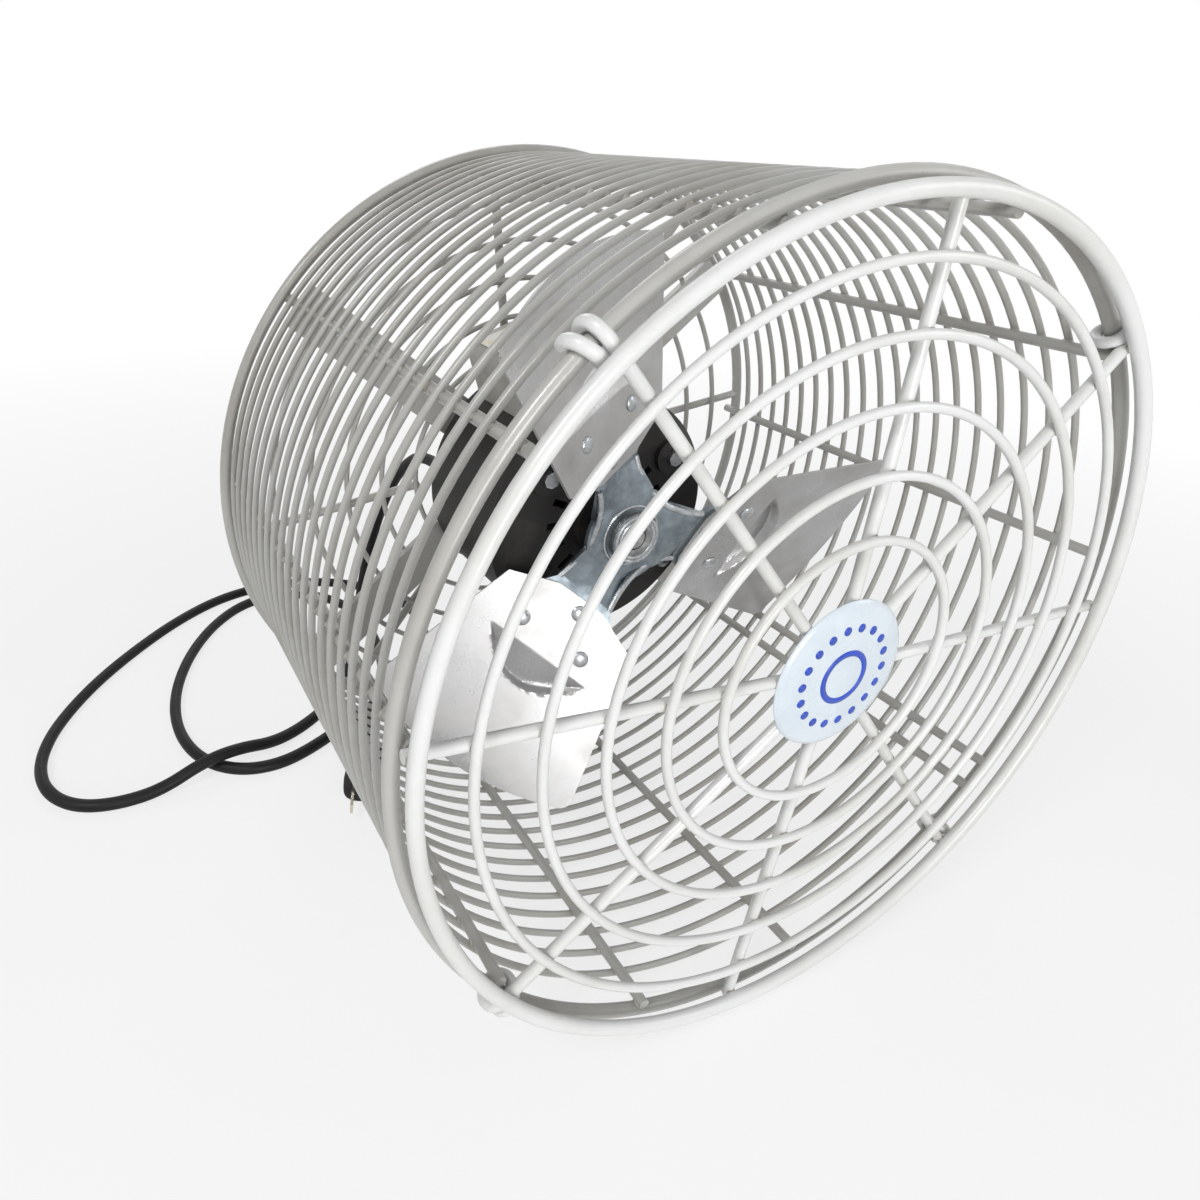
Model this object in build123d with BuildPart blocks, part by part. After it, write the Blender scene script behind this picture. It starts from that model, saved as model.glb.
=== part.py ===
"""Caged air-circulation fan, lying on its side rims with its cord on the floor behind it.

Frame: millimetres, +Z up, the fan's axis along Y, the front guard facing -Y.
The origin lies on the floor, under the middle of the cage.
"""

import os
from math import cos, radians, sin, tan

from build123d import *

os.makedirs("parts", exist_ok=True)

# Cage: thin closed rings welded round straight rods, between two thick rims
cage_inner_radius = 180.4
cage_wire = 3.2
rim_wire = 6.35
rod_wire = 5.0
ring_count = 19
ring_pitch = 12.0
first_ring_gap = 18.0
last_ring_gap = 13.0
rod_angles = (144.0, 110.0, 75.0, 40.4, 5.5, -33.6, -38.4, -79.0, -109.0, -139.6, 177.0)
weld_sink = 0.3
rod_sink = 1.3
ring_sides = 32
wire_sides = 8
rim_chamfer = 1.8

# Front guard: five concentric wires on eight spokes, four of which hook over the cage's rim
guard_rim_inset = 0.4
guard_rim_radius = cage_inner_radius - guard_rim_inset
guard_first_radius = 57.2
guard_ring_pitch = 25.4
guard_ring_count = 5
guard_ring_wire = 4.0
spoke_wire = 5.0
spoke_first_angle = -3.0
spoke_count = 8
spoke_inner_radius = 20.0
guard_bow = 5.0
hook_sweep = 285.0
hook_clearance = 0.3
badge_radius = 32.5
badge_thickness = 1.2
badge_dome = 2.2

# Rear guard: the same build, open in the middle for the motor's mounting bars
rear_ring_inner_radius = 70.0
rear_ring_pitch = 22.0
rear_ring_count = 5
rear_ring_wire = 3.2
rear_spoke_wire = 5.0
rear_spoke_count = 8
rear_spoke_first_angle = 9.0

# Motor
shaft_radius = 6.35
shaft_chamfer = 0.8
motor_radius = 68.0
shell_wall = 2.0
shell_length = 60.0
bell_depth = 12.0
bell_lip = 3.0
bell_chamfer = 5.0
bearing_radius = 16.0
bearing_width = 11.0
boss_radius = 21.0
front_boss_height = 6.0
rear_boss_height = 2.0
stator_inner_radius = 41.0
stator_length = 44.0
air_gap = 0.5
running_clearance = 0.03
bore_clearance = 1.0
bolt_circle_radius = 50.0
bolt_radius = 2.4
bolt_head_radius = 4.6
bolt_head_height = 3.4
bolt_boss_radius = 10.0
bolt_boss_height = 3.0
stud_length = 5.0
vent_count = 16
vent_inner_radius = 27.0
vent_outer_radius = 37.0
vent_width = 4.0
motor_from_guard = 156.0

# Mounting bars behind the motor
bar_angles = (144.0, 40.4)
bar_width = 25.0
bar_thickness = 4.0
nut_width = 9.5
nut_height = 4.0

# Capacitor box on top of the motor
box_angle = 110.0
box_width = 46.0
box_height = 30.0
box_length = 58.0
box_wall = 1.2
box_corner = 8.0
capacitor_radius = 13.0
capacitor_length = 46.0

# Rotor: hub, stamped three-armed spider, three riveted blades
hub_radius = 14.0
hub_length = 21.5
hub_chamfer = 1.2
screw_from_end = 5.375
screw_stand = 0.5
screw_offset = 60.0
screw_spacing = 90.0
hub_front_stand = 7.0
hub_from_guard = 134.0
shaft_stand = 6.0
spider_thickness = 2.5
spider_plate_radius = 27.0
blade_count = 3
blade_first_angle = -129.0
blade_tip_radius = 152.4
blade_pitch = 22.0
blade_thickness = 1.4
blade_root = 42.0
blade_root_width = 30.0
blade_shoulder = 52.0
blade_shoulder_width = 84.0
blade_tip_width = 134.0
blade_corner = 7.0
crescent_inner = 80.0
crescent_width = 64.0
crescent_bulge = 17.0
crescent_hollow = 5.0
crescent_height = 3.0
camber_radius = 451.0
pressing_depth = 20.0
arm_bend_in = 20.0
arm_root_width = 38.0
arm_bend_out = 38.0
arm_neck_width = 34.0
arm_flare_out = 54.0
arm_width = 60.0
arm_end = 80.0
arm_end_width = 46.0
rivet_radius = 2.4
rivet_head_radius = 4.4
rivet_head_height = 1.6
rivet_places = ((49.0, 4.0), (68.0, -20.0), (68.0, 20.0))
set_screw_radius = 3.0

# Cord and plug
cord_diameter = 7.5
relief_length = 32.0
relief_radius = 7.5
relief_tip_radius = 4.6
relief_circle_radius = 45.0
relief_angle = 189.0
plug_length = 34.0
plug_width = 26.0
plug_thickness = 22.0
plug_neck_length = 16.0
plug_neck_radius = 7.0
plug_neck_wall = 0.8
plug_corner = 7.7
prong_thickness = 1.5
prong_width = 6.35
prong_length = 17.5
prong_spacing = 12.7

# Places along the axis, counted back from the guard rim's plane
spoke_depth = rim_wire / 2 + spoke_wire / 2 - weld_sink
front_rim_depth = spoke_depth + spoke_wire / 2 + rim_wire / 2 + hook_clearance
first_ring_depth = front_rim_depth + first_ring_gap
rear_rim_depth = first_ring_depth + (ring_count - 1) * ring_pitch + last_ring_gap


def guard_depth(radius):
    """How far behind the guard rim's plane the bowed spokes lie at a radius."""
    return spoke_depth - guard_bow * (1 - radius / guard_rim_radius)


badge_back = guard_depth(spoke_inner_radius) - spoke_wire / 2 + weld_sink
badge_front = badge_back - badge_thickness - badge_dome
overall_depth = rear_rim_depth + rim_wire / 2 - badge_front
guard_y = -overall_depth / 2 - badge_front
rim_radius = cage_inner_radius + rim_wire / 2
ring_radius = cage_inner_radius + cage_wire / 2
axis_height = rim_radius + rim_wire / 2
rod_radius = cage_inner_radius - rod_wire / 2 + rod_sink


def at(depth):
    """Y of a place that lies this far behind the guard rim's plane."""
    return guard_y + depth


def across(depth):
    """Plane square to the axis, its X to the right and its Y up, looking towards the front."""
    return Plane(origin=(0, at(depth), axis_height), x_dir=(1, 0, 0), z_dir=(0, -1, 0))


def along(angle):
    """Plane through the axis, its X outwards at this angle and its Y to the rear."""
    a = radians(angle)
    return Plane(origin=(0, 0, axis_height), x_dir=(cos(a), 0, sin(a)), z_dir=(-sin(a), 0, cos(a)))


def spot(radius, angle, depth):
    """Point at a radius and an angle from the axis."""
    a = radians(angle)
    return Vector(radius * cos(a), at(depth), axis_height + radius * sin(a))


def wire_ring(radius, wire, depth, sides):
    """Closed ring of square wire."""
    with BuildSketch(across(depth)) as band:
        RegularPolygon(radius + wire / 2, sides, major_radius=False, rotation=180 / sides)
        RegularPolygon(
            radius - wire / 2, sides, major_radius=False, rotation=180 / sides, mode=Mode.SUBTRACT
        )
    extrude(band.sketch, amount=wire / 2, both=True)


def straight_wire(start, end, wire):
    """Wire from one point to another."""
    run = end - start
    with BuildSketch(Plane(origin=start, z_dir=run)) as section:
        RegularPolygon(wire / 2, wire_sides)
    extrude(section.sketch, amount=run.length)


def evenly(first, count):
    """Angles spread evenly round the axis."""
    return [first + 360 * i / count for i in range(count)]


def save(part, name):
    part.label = name
    export_step(part, f"parts/{name}.step")


# Drum of the cage: closed rings and the rods welded inside them
with BuildPart() as rings:
    for i in range(ring_count):
        wire_ring(ring_radius, cage_wire, first_ring_depth + i * ring_pitch, ring_sides)

with BuildPart() as rods:
    for angle in rod_angles:
        straight_wire(
            spot(rod_radius, angle, front_rim_depth - rim_wire / 2),
            spot(rod_radius, angle, rear_rim_depth + rim_wire / 2),
            rod_wire,
        )

with BuildPart() as cage_drum:
    add(rings.part)
    add(rods.part)
save(cage_drum.part, "cage_drum")

# The two thick rims that the cage stands on
for name, depth in (("front_rim", front_rim_depth), ("rear_rim", rear_rim_depth)):
    with BuildPart() as rim:
        wire_ring(rim_radius, rim_wire, depth, 2 * ring_sides)
        chamfer(rim.edges().filter_by(Axis.Y, reverse=True), length=rim_chamfer)
    save(rim.part, name)

# Front guard: rim, concentric wires, plain spokes, hooked spokes and centre badge
with BuildPart() as front_guard_rim:
    wire_ring(guard_rim_radius, rim_wire, 0.0, 2 * ring_sides)
    chamfer(front_guard_rim.edges().filter_by(Axis.Y, reverse=True), length=rim_chamfer)
save(front_guard_rim.part, "front_guard_rim")

spoke_angles = evenly(spoke_first_angle, spoke_count)
with BuildPart() as guard_wires:
    for i in range(guard_ring_count):
        radius = guard_first_radius + i * guard_ring_pitch
        depth = guard_depth(radius) - spoke_wire / 2 - guard_ring_wire / 2 + weld_sink
        wire_ring(radius, guard_ring_wire, depth, ring_sides)

with BuildPart() as plain_spokes:
    for angle in spoke_angles[0::2]:
        straight_wire(
            spot(spoke_inner_radius, angle, guard_depth(spoke_inner_radius)),
            spot(guard_rim_radius + spoke_wire / 2, angle, spoke_depth),
            spoke_wire,
        )

with BuildPart() as front_guard_grille:
    add(guard_wires.part)
    add(plain_spokes.part)
save(front_guard_grille.part, "front_guard_grille")

hook_radius = rim_wire / 2 + spoke_wire / 2 + hook_clearance
with BuildPart() as front_guard_hooks:
    for angle in spoke_angles[1::2]:
        with BuildLine(along(angle)) as route:
            inner = (spoke_inner_radius, at(guard_depth(spoke_inner_radius)))
            outer = (rim_radius, at(front_rim_depth - hook_radius))
            spoke_line = Line(inner, outer)
            JernArc(spoke_line @ 1, spoke_line % 1, hook_radius, hook_sweep)
        start = Plane(origin=route.line @ 0, z_dir=route.line % 0)
        with BuildSketch(start) as section:
            RegularPolygon(spoke_wire / 2, wire_sides)
        sweep(section.sketch, path=route.line)
save(front_guard_hooks.part, "front_guard_hooks")

with BuildPart() as guard_badge:
    with BuildSketch(across(badge_back)) as disc:
        Circle(badge_radius)
    extrude(disc.sketch, amount=badge_thickness + badge_dome)
    chamfer(guard_badge.faces().sort_by(Axis.Y)[0].edges(), length=badge_dome, length2=3 * badge_dome)
save(guard_badge.part, "guard_badge")

# Rear guard, its wires welded in front of its spokes
rear_rings_depth = rear_rim_depth - rear_spoke_wire / 2 - rear_ring_wire / 2 + weld_sink
with BuildPart() as rear_wires:
    for i in range(rear_ring_count):
        radius = rear_ring_inner_radius + i * rear_ring_pitch
        wire_ring(radius, rear_ring_wire, rear_rings_depth, ring_sides)

with BuildPart() as rear_spokes:
    for angle in evenly(rear_spoke_first_angle, rear_spoke_count):
        straight_wire(
            spot(rear_ring_inner_radius - rear_ring_wire, angle, rear_rim_depth),
            spot(cage_inner_radius + weld_sink, angle, rear_rim_depth),
            rear_spoke_wire,
        )

with BuildPart() as rear_guard:
    add(rear_wires.part)
    add(rear_spokes.part)
save(rear_guard.part, "rear_guard")

# Motor, behind the hub: two end bells on a shell, held together by through bolts
bell_front = motor_from_guard
shell_front = bell_front + bell_depth
shell_rear = shell_front + shell_length
bell_rear = shell_rear + bell_depth
bolt_angles = [angle + turn for angle in bar_angles for turn in (0, 180)]
bolt_spots = [
    (bolt_circle_radius * cos(radians(a)), bolt_circle_radius * sin(radians(a))) for a in bolt_angles
]
stator_middle = (shell_front + shell_rear) / 2

with BuildPart() as motor_shell:
    with BuildSketch(across(shell_rear)) as tube:
        Circle(motor_radius)
        Circle(motor_radius - shell_wall, mode=Mode.SUBTRACT)
    extrude(tube.sketch, amount=shell_length)
save(motor_shell.part, "motor_shell")


def bell(name, open_depth, cap_depth, boss_height, shaft_passes):
    """Cup that closes one end of the shell, with vents, bolt bosses and a bearing boss."""
    outward = 1 if cap_depth > open_depth else -1
    with BuildPart() as cup:
        with BuildSketch(across(open_depth)) as rim_face:
            Circle(motor_radius)
        extrude(rim_face.sketch, amount=-outward * bell_depth)
        end = cup.faces().sort_by(Axis.Y)[-1 if outward > 0 else 0]
        chamfer(end.edges(), length=bell_chamfer)
        with BuildSketch(across(open_depth)) as hollow:
            Circle(motor_radius - shell_wall - bell_lip)
        extrude(hollow.sketch, amount=-outward * (bell_depth - bell_lip), mode=Mode.SUBTRACT)
        with BuildSketch(across(cap_depth - outward * bearing_width)) as boss:
            Circle(boss_radius)
        extrude(boss.sketch, amount=-outward * (bearing_width + boss_height))
        with BuildSketch(across(cap_depth - outward * bell_lip)) as bolt_bosses:
            with Locations(*bolt_spots):
                Circle(bolt_boss_radius)
        extrude(bolt_bosses.sketch, amount=-outward * (bell_lip + bolt_boss_height))
        if shaft_passes:
            with BuildSketch(across(cap_depth + outward * boss_height)) as bore:
                Circle(shaft_radius + bore_clearance)
            extrude(bore.sketch, amount=outward * boss_height, mode=Mode.SUBTRACT)
        with BuildSketch(across(cap_depth - outward * bearing_width)) as pocket:
            Circle(bearing_radius)
        extrude(pocket.sketch, amount=-outward * bearing_width, mode=Mode.SUBTRACT)
        with BuildSketch(across(cap_depth + outward * bolt_boss_height)) as holes:
            with Locations(*bolt_spots):
                Circle(bolt_radius)
            with PolarLocations((vent_inner_radius + vent_outer_radius) / 2, vent_count):
                Rectangle(vent_outer_radius - vent_inner_radius, vent_width)
        extrude(holes.sketch, amount=outward * (bell_depth + bolt_boss_height), mode=Mode.SUBTRACT)
    save(cup.part, name)


bell("front_end_bell", shell_front, bell_front, front_boss_height, True)
bell("rear_end_bell", shell_rear, bell_rear, rear_boss_height, False)

with BuildPart() as stator:
    with BuildSketch(across(stator_middle)) as stack:
        RegularPolygon(motor_radius - shell_wall, 24)
        Circle(stator_inner_radius, mode=Mode.SUBTRACT)
    extrude(stack.sketch, amount=stator_length / 2, both=True)
    with BuildSketch(across(stator_middle)) as ways:
        with Locations(*bolt_spots):
            Circle(bolt_radius + bore_clearance)
    extrude(ways.sketch, amount=stator_length, both=True, mode=Mode.SUBTRACT)
save(stator.part, "stator")

for name, depth, outward in (("front_bearing", bell_front, -1), ("rear_bearing", bell_rear, 1)):
    with BuildPart() as bearing:
        with BuildSketch(across(depth)) as race:
            Circle(bearing_radius)
            Circle(shaft_radius + running_clearance, mode=Mode.SUBTRACT)
        extrude(race.sketch, amount=outward * bearing_width)
    save(bearing.part, name)

# Through bolts: heads on the front bell, studs standing out behind the mounting bars
bar_front = bell_rear + bolt_boss_height
bar_rear = bar_front + 2 * bar_thickness
stud_end = bar_rear + nut_height + stud_length
with BuildPart() as through_bolts:
    for angle in bolt_angles:
        head_face = bell_front - bolt_boss_height
        straight_wire(
            spot(bolt_circle_radius, angle, head_face),
            spot(bolt_circle_radius, angle, stud_end),
            2 * bolt_radius,
        )
        straight_wire(
            spot(bolt_circle_radius, angle, head_face - bolt_head_height),
            spot(bolt_circle_radius, angle, head_face),
            2 * bolt_head_radius,
        )
save(through_bolts.part, "through_bolts")


def bar_spots(angle):
    """The two bolt places of the bar that lies at this angle."""
    x, y = bolt_circle_radius * cos(radians(angle)), bolt_circle_radius * sin(radians(angle))
    return [(x, y), (-x, -y)]


bar_fronts = {angle: bar_front + i * bar_thickness for i, angle in enumerate(bar_angles)}
with BuildPart() as mount_nuts:
    for angle, depth in bar_fronts.items():
        with BuildSketch(across(depth + bar_thickness)) as hexes:
            with Locations(*bar_spots(angle)):
                RegularPolygon(nut_width / 2, 6, major_radius=False)
                Circle(bolt_radius, mode=Mode.SUBTRACT)
        extrude(hexes.sketch, amount=-nut_height)
save(mount_nuts.part, "mount_nuts")

# Mounting bars, crossed behind the motor, their ends welded to the cage's rods
for name, angle in zip(("mount_bar_inner", "mount_bar_outer"), bar_angles):
    with BuildPart() as bar:
        with BuildSketch(across(bar_fronts[angle])) as flat:
            Rectangle(2 * (rod_radius - rod_wire / 2 + weld_sink), bar_width, rotation=angle)
            with Locations(*bar_spots(angle)):
                Circle(bolt_radius, mode=Mode.SUBTRACT)
        extrude(flat.sketch, amount=-bar_thickness)
    save(bar.part, name)

# Spacers that carry the outer bar clear of the inner one
with BuildPart() as mount_spacers:
    with BuildSketch(across(bar_front)) as tubes:
        with Locations(*bar_spots(bar_angles[1])):
            Circle(bolt_boss_radius - bell_lip)
            Circle(bolt_radius, mode=Mode.SUBTRACT)
    extrude(tubes.sketch, amount=-bar_thickness)
save(mount_spacers.part, "mount_spacers")

# Capacitor and its box on top of the shell
box_middle = (shell_front + shell_rear) / 2
box_centre = motor_radius + box_height / 2


def box_plane(depth):
    """Plane across the axis with its X pointing out through the box."""
    a = radians(box_angle)
    return Plane(origin=(0, at(depth), axis_height), x_dir=(cos(a), 0, sin(a)), z_dir=(0, -1, 0))


with BuildPart() as capacitor_box:
    with BuildSketch(box_plane(box_middle)) as outline:
        with Locations((box_centre - box_corner, 0)):
            RectangleRounded(box_height + 2 * box_corner, box_width, box_corner)
    extrude(outline.sketch, amount=box_length / 2, both=True)
    with BuildSketch(box_plane(box_middle)) as inside:
        with Locations((box_centre - box_corner - box_wall, 0)):
            RectangleRounded(box_height + 2 * box_corner, box_width - 2 * box_wall, box_corner - box_wall)
    extrude(inside.sketch, amount=box_length / 2 - box_wall, both=True, mode=Mode.SUBTRACT)
    with BuildSketch(box_plane(box_middle)) as seat:
        Circle(motor_radius)
    extrude(seat.sketch, amount=box_length, both=True, mode=Mode.SUBTRACT)
save(capacitor_box.part, "capacitor_box")

with BuildPart() as capacitor:
    with BuildSketch(box_plane(box_middle)) as can:
        with Locations((motor_radius + capacitor_radius, 0)):
            Circle(capacitor_radius)
    extrude(can.sketch, amount=capacitor_length / 2, both=True)
save(capacitor.part, "capacitor")

# Rotor: shaft, core and hub
hub_front = hub_from_guard - hub_front_stand
hub_rear = hub_front + hub_length
shaft_front = hub_front + hub_front_stand - shaft_stand
with BuildPart() as motor_shaft:
    with BuildSketch(across(shaft_front)) as section:
        Circle(shaft_radius)
    extrude(section.sketch, amount=shaft_front - bell_rear)
    chamfer(motor_shaft.faces().sort_by(Axis.Y)[0].edges(), length=shaft_chamfer)
save(motor_shaft.part, "motor_shaft")

with BuildPart() as rotor_core:
    with BuildSketch(across(stator_middle)) as stack:
        Circle(stator_inner_radius - air_gap)
        Circle(shaft_radius, mode=Mode.SUBTRACT)
    extrude(stack.sketch, amount=stator_length / 2, both=True)
save(rotor_core.part, "rotor_core")

screw_depth = hub_rear - screw_from_end
screw_angles = (blade_first_angle + screw_offset, blade_first_angle + screw_offset + screw_spacing)
with BuildPart() as hub:
    with BuildSketch(across(hub_front)) as boss:
        Circle(hub_radius)
        Circle(shaft_radius, mode=Mode.SUBTRACT)
    extrude(boss.sketch, amount=-hub_length)
    chamfer(hub.faces().sort_by(Axis.Y)[0].edges(), length=hub_chamfer)
    for angle in screw_angles:
        centre = spot(shaft_radius - 1, angle, screw_depth)
        with BuildSketch(Plane(origin=centre, z_dir=spot(1, angle, 0) - spot(0, angle, 0))) as hole:
            Circle(set_screw_radius)
        extrude(hole.sketch, amount=hub_radius, mode=Mode.SUBTRACT)
save(hub.part, "hub")

with BuildPart() as hub_set_screws:
    for angle in screw_angles:
        straight_wire(
            spot(shaft_radius, angle, screw_depth),
            spot(hub_radius + screw_stand, angle, screw_depth),
            2 * set_screw_radius,
        )
    with BuildSketch(across(hub_front)) as shaft_way:
        Circle(shaft_radius)
    extrude(shaft_way.sketch, amount=-hub_length, mode=Mode.SUBTRACT)
save(hub_set_screws.part, "hub_set_screws")

hub_centre = Vector(0, at(hub_from_guard), axis_height)


def outline_plane(angle, tilt=blade_pitch, lift=0.0, out=0.0):
    """Plane of an arm or a blade, its X outwards, its Y across and its Z towards the front."""
    a, t = radians(angle), radians(tilt)
    outward = Vector(cos(a), 0, sin(a))
    side = Vector(-sin(a) * cos(t), -sin(t), cos(a) * cos(t))
    front = outward.cross(side)
    return Plane(origin=hub_centre + outward * out + front * lift, x_dir=outward, z_dir=front)


def cross_plane(angle, tilt, out):
    """Plane across an arm at a distance from the axis, its X across the arm and its Y to the front."""
    flat = outline_plane(angle, tilt, out=out)
    return Plane(origin=flat.origin, x_dir=flat.y_dir, z_dir=flat.x_dir)


def camber(angle, back, front):
    """Keeps what lies between two heights over the hollow curve that the blade is rolled to."""
    plane = cross_plane(angle, blade_pitch, 0)
    with BuildSketch(plane) as band:
        with Locations((0, camber_radius)):
            Circle(camber_radius - back)
            Circle(camber_radius - front, mode=Mode.SUBTRACT)
    extrude(band.sketch, amount=blade_tip_radius, mode=Mode.INTERSECT)


def mirrored_outline(side):
    """Closed outline from the points of one side, with its outer end bowed to the tip's circle."""
    other = [(out, -across_it) for out, across_it in reversed(side)]
    Polyline(*other, *side)
    return ThreePointArc(side[-1], (blade_tip_radius, 0), other[0])


blade_angles = evenly(blade_first_angle, blade_count)
plate_back, plate_front = -spider_thickness / 2, spider_thickness / 2
arm_pads = []
for angle in blade_angles:
    with BuildPart() as arm_pad:
        with BuildSketch(outline_plane(angle)) as outline:
            with BuildLine():
                Polyline(
                    (arm_bend_out, -arm_neck_width / 2),
                    (arm_flare_out, -arm_width / 2),
                    (arm_end, -arm_end_width / 2),
                    (arm_end, arm_end_width / 2),
                    (arm_flare_out, arm_width / 2),
                    (arm_bend_out, arm_neck_width / 2),
                    close=True,
                )
            make_face()
        extrude(outline.sketch, amount=pressing_depth, both=True)
        camber(angle, plate_back, plate_front)
    arm_pads.append(arm_pad.part)

with BuildPart() as blade_spider:
    with BuildSketch(across(hub_from_guard)) as plate:
        Circle(spider_plate_radius)
    extrude(plate.sketch, amount=spider_thickness / 2, both=True)
    for angle, arm_pad in zip(blade_angles, arm_pads):
        with BuildSketch(cross_plane(angle, 0, arm_bend_in)) as flat_end:
            Rectangle(arm_root_width, spider_thickness)
        with BuildSketch(cross_plane(angle, blade_pitch, arm_bend_out)) as pitched_end:
            Rectangle(arm_neck_width, spider_thickness)
        loft([flat_end.sketch, pitched_end.sketch], ruled=True)
        add(arm_pad)
    with BuildSketch(across(hub_from_guard)) as eye:
        Circle(hub_radius)
    extrude(eye.sketch, amount=2 * spider_thickness, both=True, mode=Mode.SUBTRACT)
    for angle in blade_angles:
        with BuildSketch(outline_plane(angle)) as holes:
            with Locations(*rivet_places):
                Circle(rivet_radius)
        extrude(holes.sketch, amount=pressing_depth, both=True, mode=Mode.SUBTRACT)
save(blade_spider.part, "blade_spider")

# Blades: rolled sheet with a pressed crescent, seated on the arms' front
tip_out = (blade_tip_radius**2 - (blade_tip_width / 2) ** 2) ** 0.5
blade_back, blade_front = plate_front, plate_front + blade_thickness
for number, angle in enumerate(blade_angles, 1):
    with BuildPart() as crescent:
        with BuildSketch(outline_plane(angle)) as moon:
            with BuildLine():
                inner, outer = crescent_inner + crescent_hollow, crescent_inner + crescent_bulge
                low, high = (crescent_inner, -crescent_width / 2), (crescent_inner, crescent_width / 2)
                ThreePointArc(low, (outer, 0), high)
                ThreePointArc(high, (inner, 0), low)
            make_face()
        extrude(moon.sketch, amount=pressing_depth, both=True)
        camber(angle, blade_back, blade_front + crescent_height)

    with BuildPart() as blade:
        with BuildSketch(outline_plane(angle)) as sheet:
            with BuildLine():
                mirrored_outline(
                    [
                        (blade_root, blade_root_width / 2),
                        (blade_shoulder, blade_shoulder_width / 2),
                        (tip_out, blade_tip_width / 2),
                    ]
                )
            make_face()
            tips = sheet.vertices().filter_by(lambda v: (v.center() - hub_centre).length > tip_out)
            fillet(tips, radius=blade_corner)
            with Locations(*rivet_places):
                Circle(rivet_radius, mode=Mode.SUBTRACT)
        extrude(sheet.sketch, amount=pressing_depth, both=True)
        camber(angle, blade_back, blade_front)
        add(crescent.part)
    save(blade.part, f"blade_{number}")

with BuildPart() as blade_rivets:
    for angle in blade_angles:
        for out, side in rivet_places:
            seat = side**2 / (2 * camber_radius)
            centre = outline_plane(angle).from_local_coords(Vector(out, side, 0))
            front = outline_plane(angle).z_dir
            for low, high, radius in (
                (plate_back - rivet_head_height, blade_front + rivet_head_height, rivet_radius),
                (plate_back - rivet_head_height, plate_back, rivet_head_radius),
                (blade_front, blade_front + rivet_head_height, rivet_head_radius),
            ):
                straight_wire(centre + front * (seat + low), centre + front * (seat + high), 2 * radius)
save(blade_rivets.part, "blade_rivets")

# Strain relief on the rear bell, where the cord leaves the motor
relief_start = spot(relief_circle_radius, relief_angle, bell_rear)
relief_end = spot(relief_circle_radius, relief_angle, bell_rear + relief_length)
with BuildPart() as strain_relief:
    with BuildSketch(Plane(origin=relief_start, z_dir=(0, 1, 0))) as base:
        Circle(relief_radius)
    with BuildSketch(Plane(origin=relief_end, z_dir=(0, 1, 0))) as tip:
        Circle(relief_tip_radius)
    loft([base.sketch, tip.sketch])
save(strain_relief.part, "strain_relief")

# Cord: out of the motor, down to the floor, and two loose turns beside the cage.
# Each point is X, distance behind the guard rim's plane, and height.
lying = cord_diameter / 2
crossing = lying + 2 * cord_diameter
plug_height = plug_thickness / 2
cord_route = (
    (relief_end.X, bell_rear + relief_length, relief_end.Z),
    (-44.4, 297.0, relief_end.Z),
    (-47.0, 322.0, 166.0),
    (-52.0, 341.0, 140.0),
    (-59.0, 351.0, 104.0),
    (-67.0, 351.0, 68.0),
    (-75.0, 342.0, 36.0),
    (-84.0, 326.0, 13.0),
    (-100.0, 304.0, lying),
    (-127.0, 279.0, lying),
    (-158.0, 263.0, lying + 0.5),
    (-186.0, 255.0, crossing),
    (-208.0, 250.0, crossing),
    (-234.0, 245.0, lying + 0.5),
    (-258.0, 243.0, lying),
    (-279.0, 248.0, lying),
    (-293.0, 261.0, lying),
    (-300.0, 280.0, lying),
    (-299.0, 304.0, lying),
    (-288.0, 334.0, lying),
    (-263.0, 372.0, lying),
    (-230.0, 408.0, lying),
    (-193.0, 441.0, lying),
    (-154.0, 465.0, lying),
    (-112.0, 474.0, lying),
    (-70.0, 467.0, lying),
    (-34.0, 446.0, lying),
    (-12.0, 414.0, lying),
    (-7.0, 376.0, lying),
    (-18.0, 338.0, lying),
    (-44.0, 306.0, lying),
    (-80.0, 281.0, lying),
    (-115.0, 262.0, lying),
    (-140.0, 249.0, lying),
    (-162.0, 242.0, lying),
    (-183.0, 244.0, lying),
    (-200.0, 255.0, lying),
    (-211.0, 273.0, lying),
    (-216.0, 298.0, lying),
    (-214.0, 328.0, lying),
    (-205.0, 360.0, lying),
    (-189.0, 394.0, lying),
    (-166.0, 426.0, lying),
    (-138.0, 449.0, lying),
    (-107.0, 455.0, lying),
    (-78.0, 444.0, lying),
    (-58.0, 418.0, lying),
    (-52.0, 384.0, lying),
    (-55.0, 350.0, lying),
    (-62.0, 322.0, lying + 1.0),
    (-70.0, 300.0, crossing),
    (-82.0, 278.0, crossing),
    (-94.0, 259.0, plug_height),
    (-103.0, 239.0, plug_height),
)
points = [Vector(x, at(depth), height) for x, depth, height in cord_route]
runs = [points[i + 1] - points[i] for i in range(len(points) - 1)]
radii = []
for before, after in zip(runs, runs[1:]):
    half_turn = radians(before.get_angle(after)) / 2
    radii.append(0.45 * min(before.length, after.length) / tan(half_turn))
print("cord radii", [round(radius) for radius in radii])

with BuildPart() as power_cord:
    with BuildLine() as route:
        FilletPolyline(*points, radius=radii)
    with BuildSketch(Plane(origin=route.line @ 0, z_dir=route.line % 0)) as section:
        RegularPolygon(cord_diameter / 2, wire_sides)
    sweep(section.sketch, path=route.line)
cord_length = sum(edge.length for edge in route.edges())
volume_share = power_cord.part.volume / (section.sketch.area * cord_length)
print("cord length", round(cord_length), "volume share", round(volume_share, 4))
save(power_cord.part, "power_cord")

# Plug, lying on the floor in line with the cord's end
plug_way = runs[-1].normalized()
plug_side = Vector(0, 0, 1).cross(plug_way)


def plug_plane(distance):
    """Plane across the plug, its X level and its Y upright."""
    return Plane(origin=points[-1] + plug_way * distance, x_dir=plug_side, z_dir=plug_way)


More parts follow.
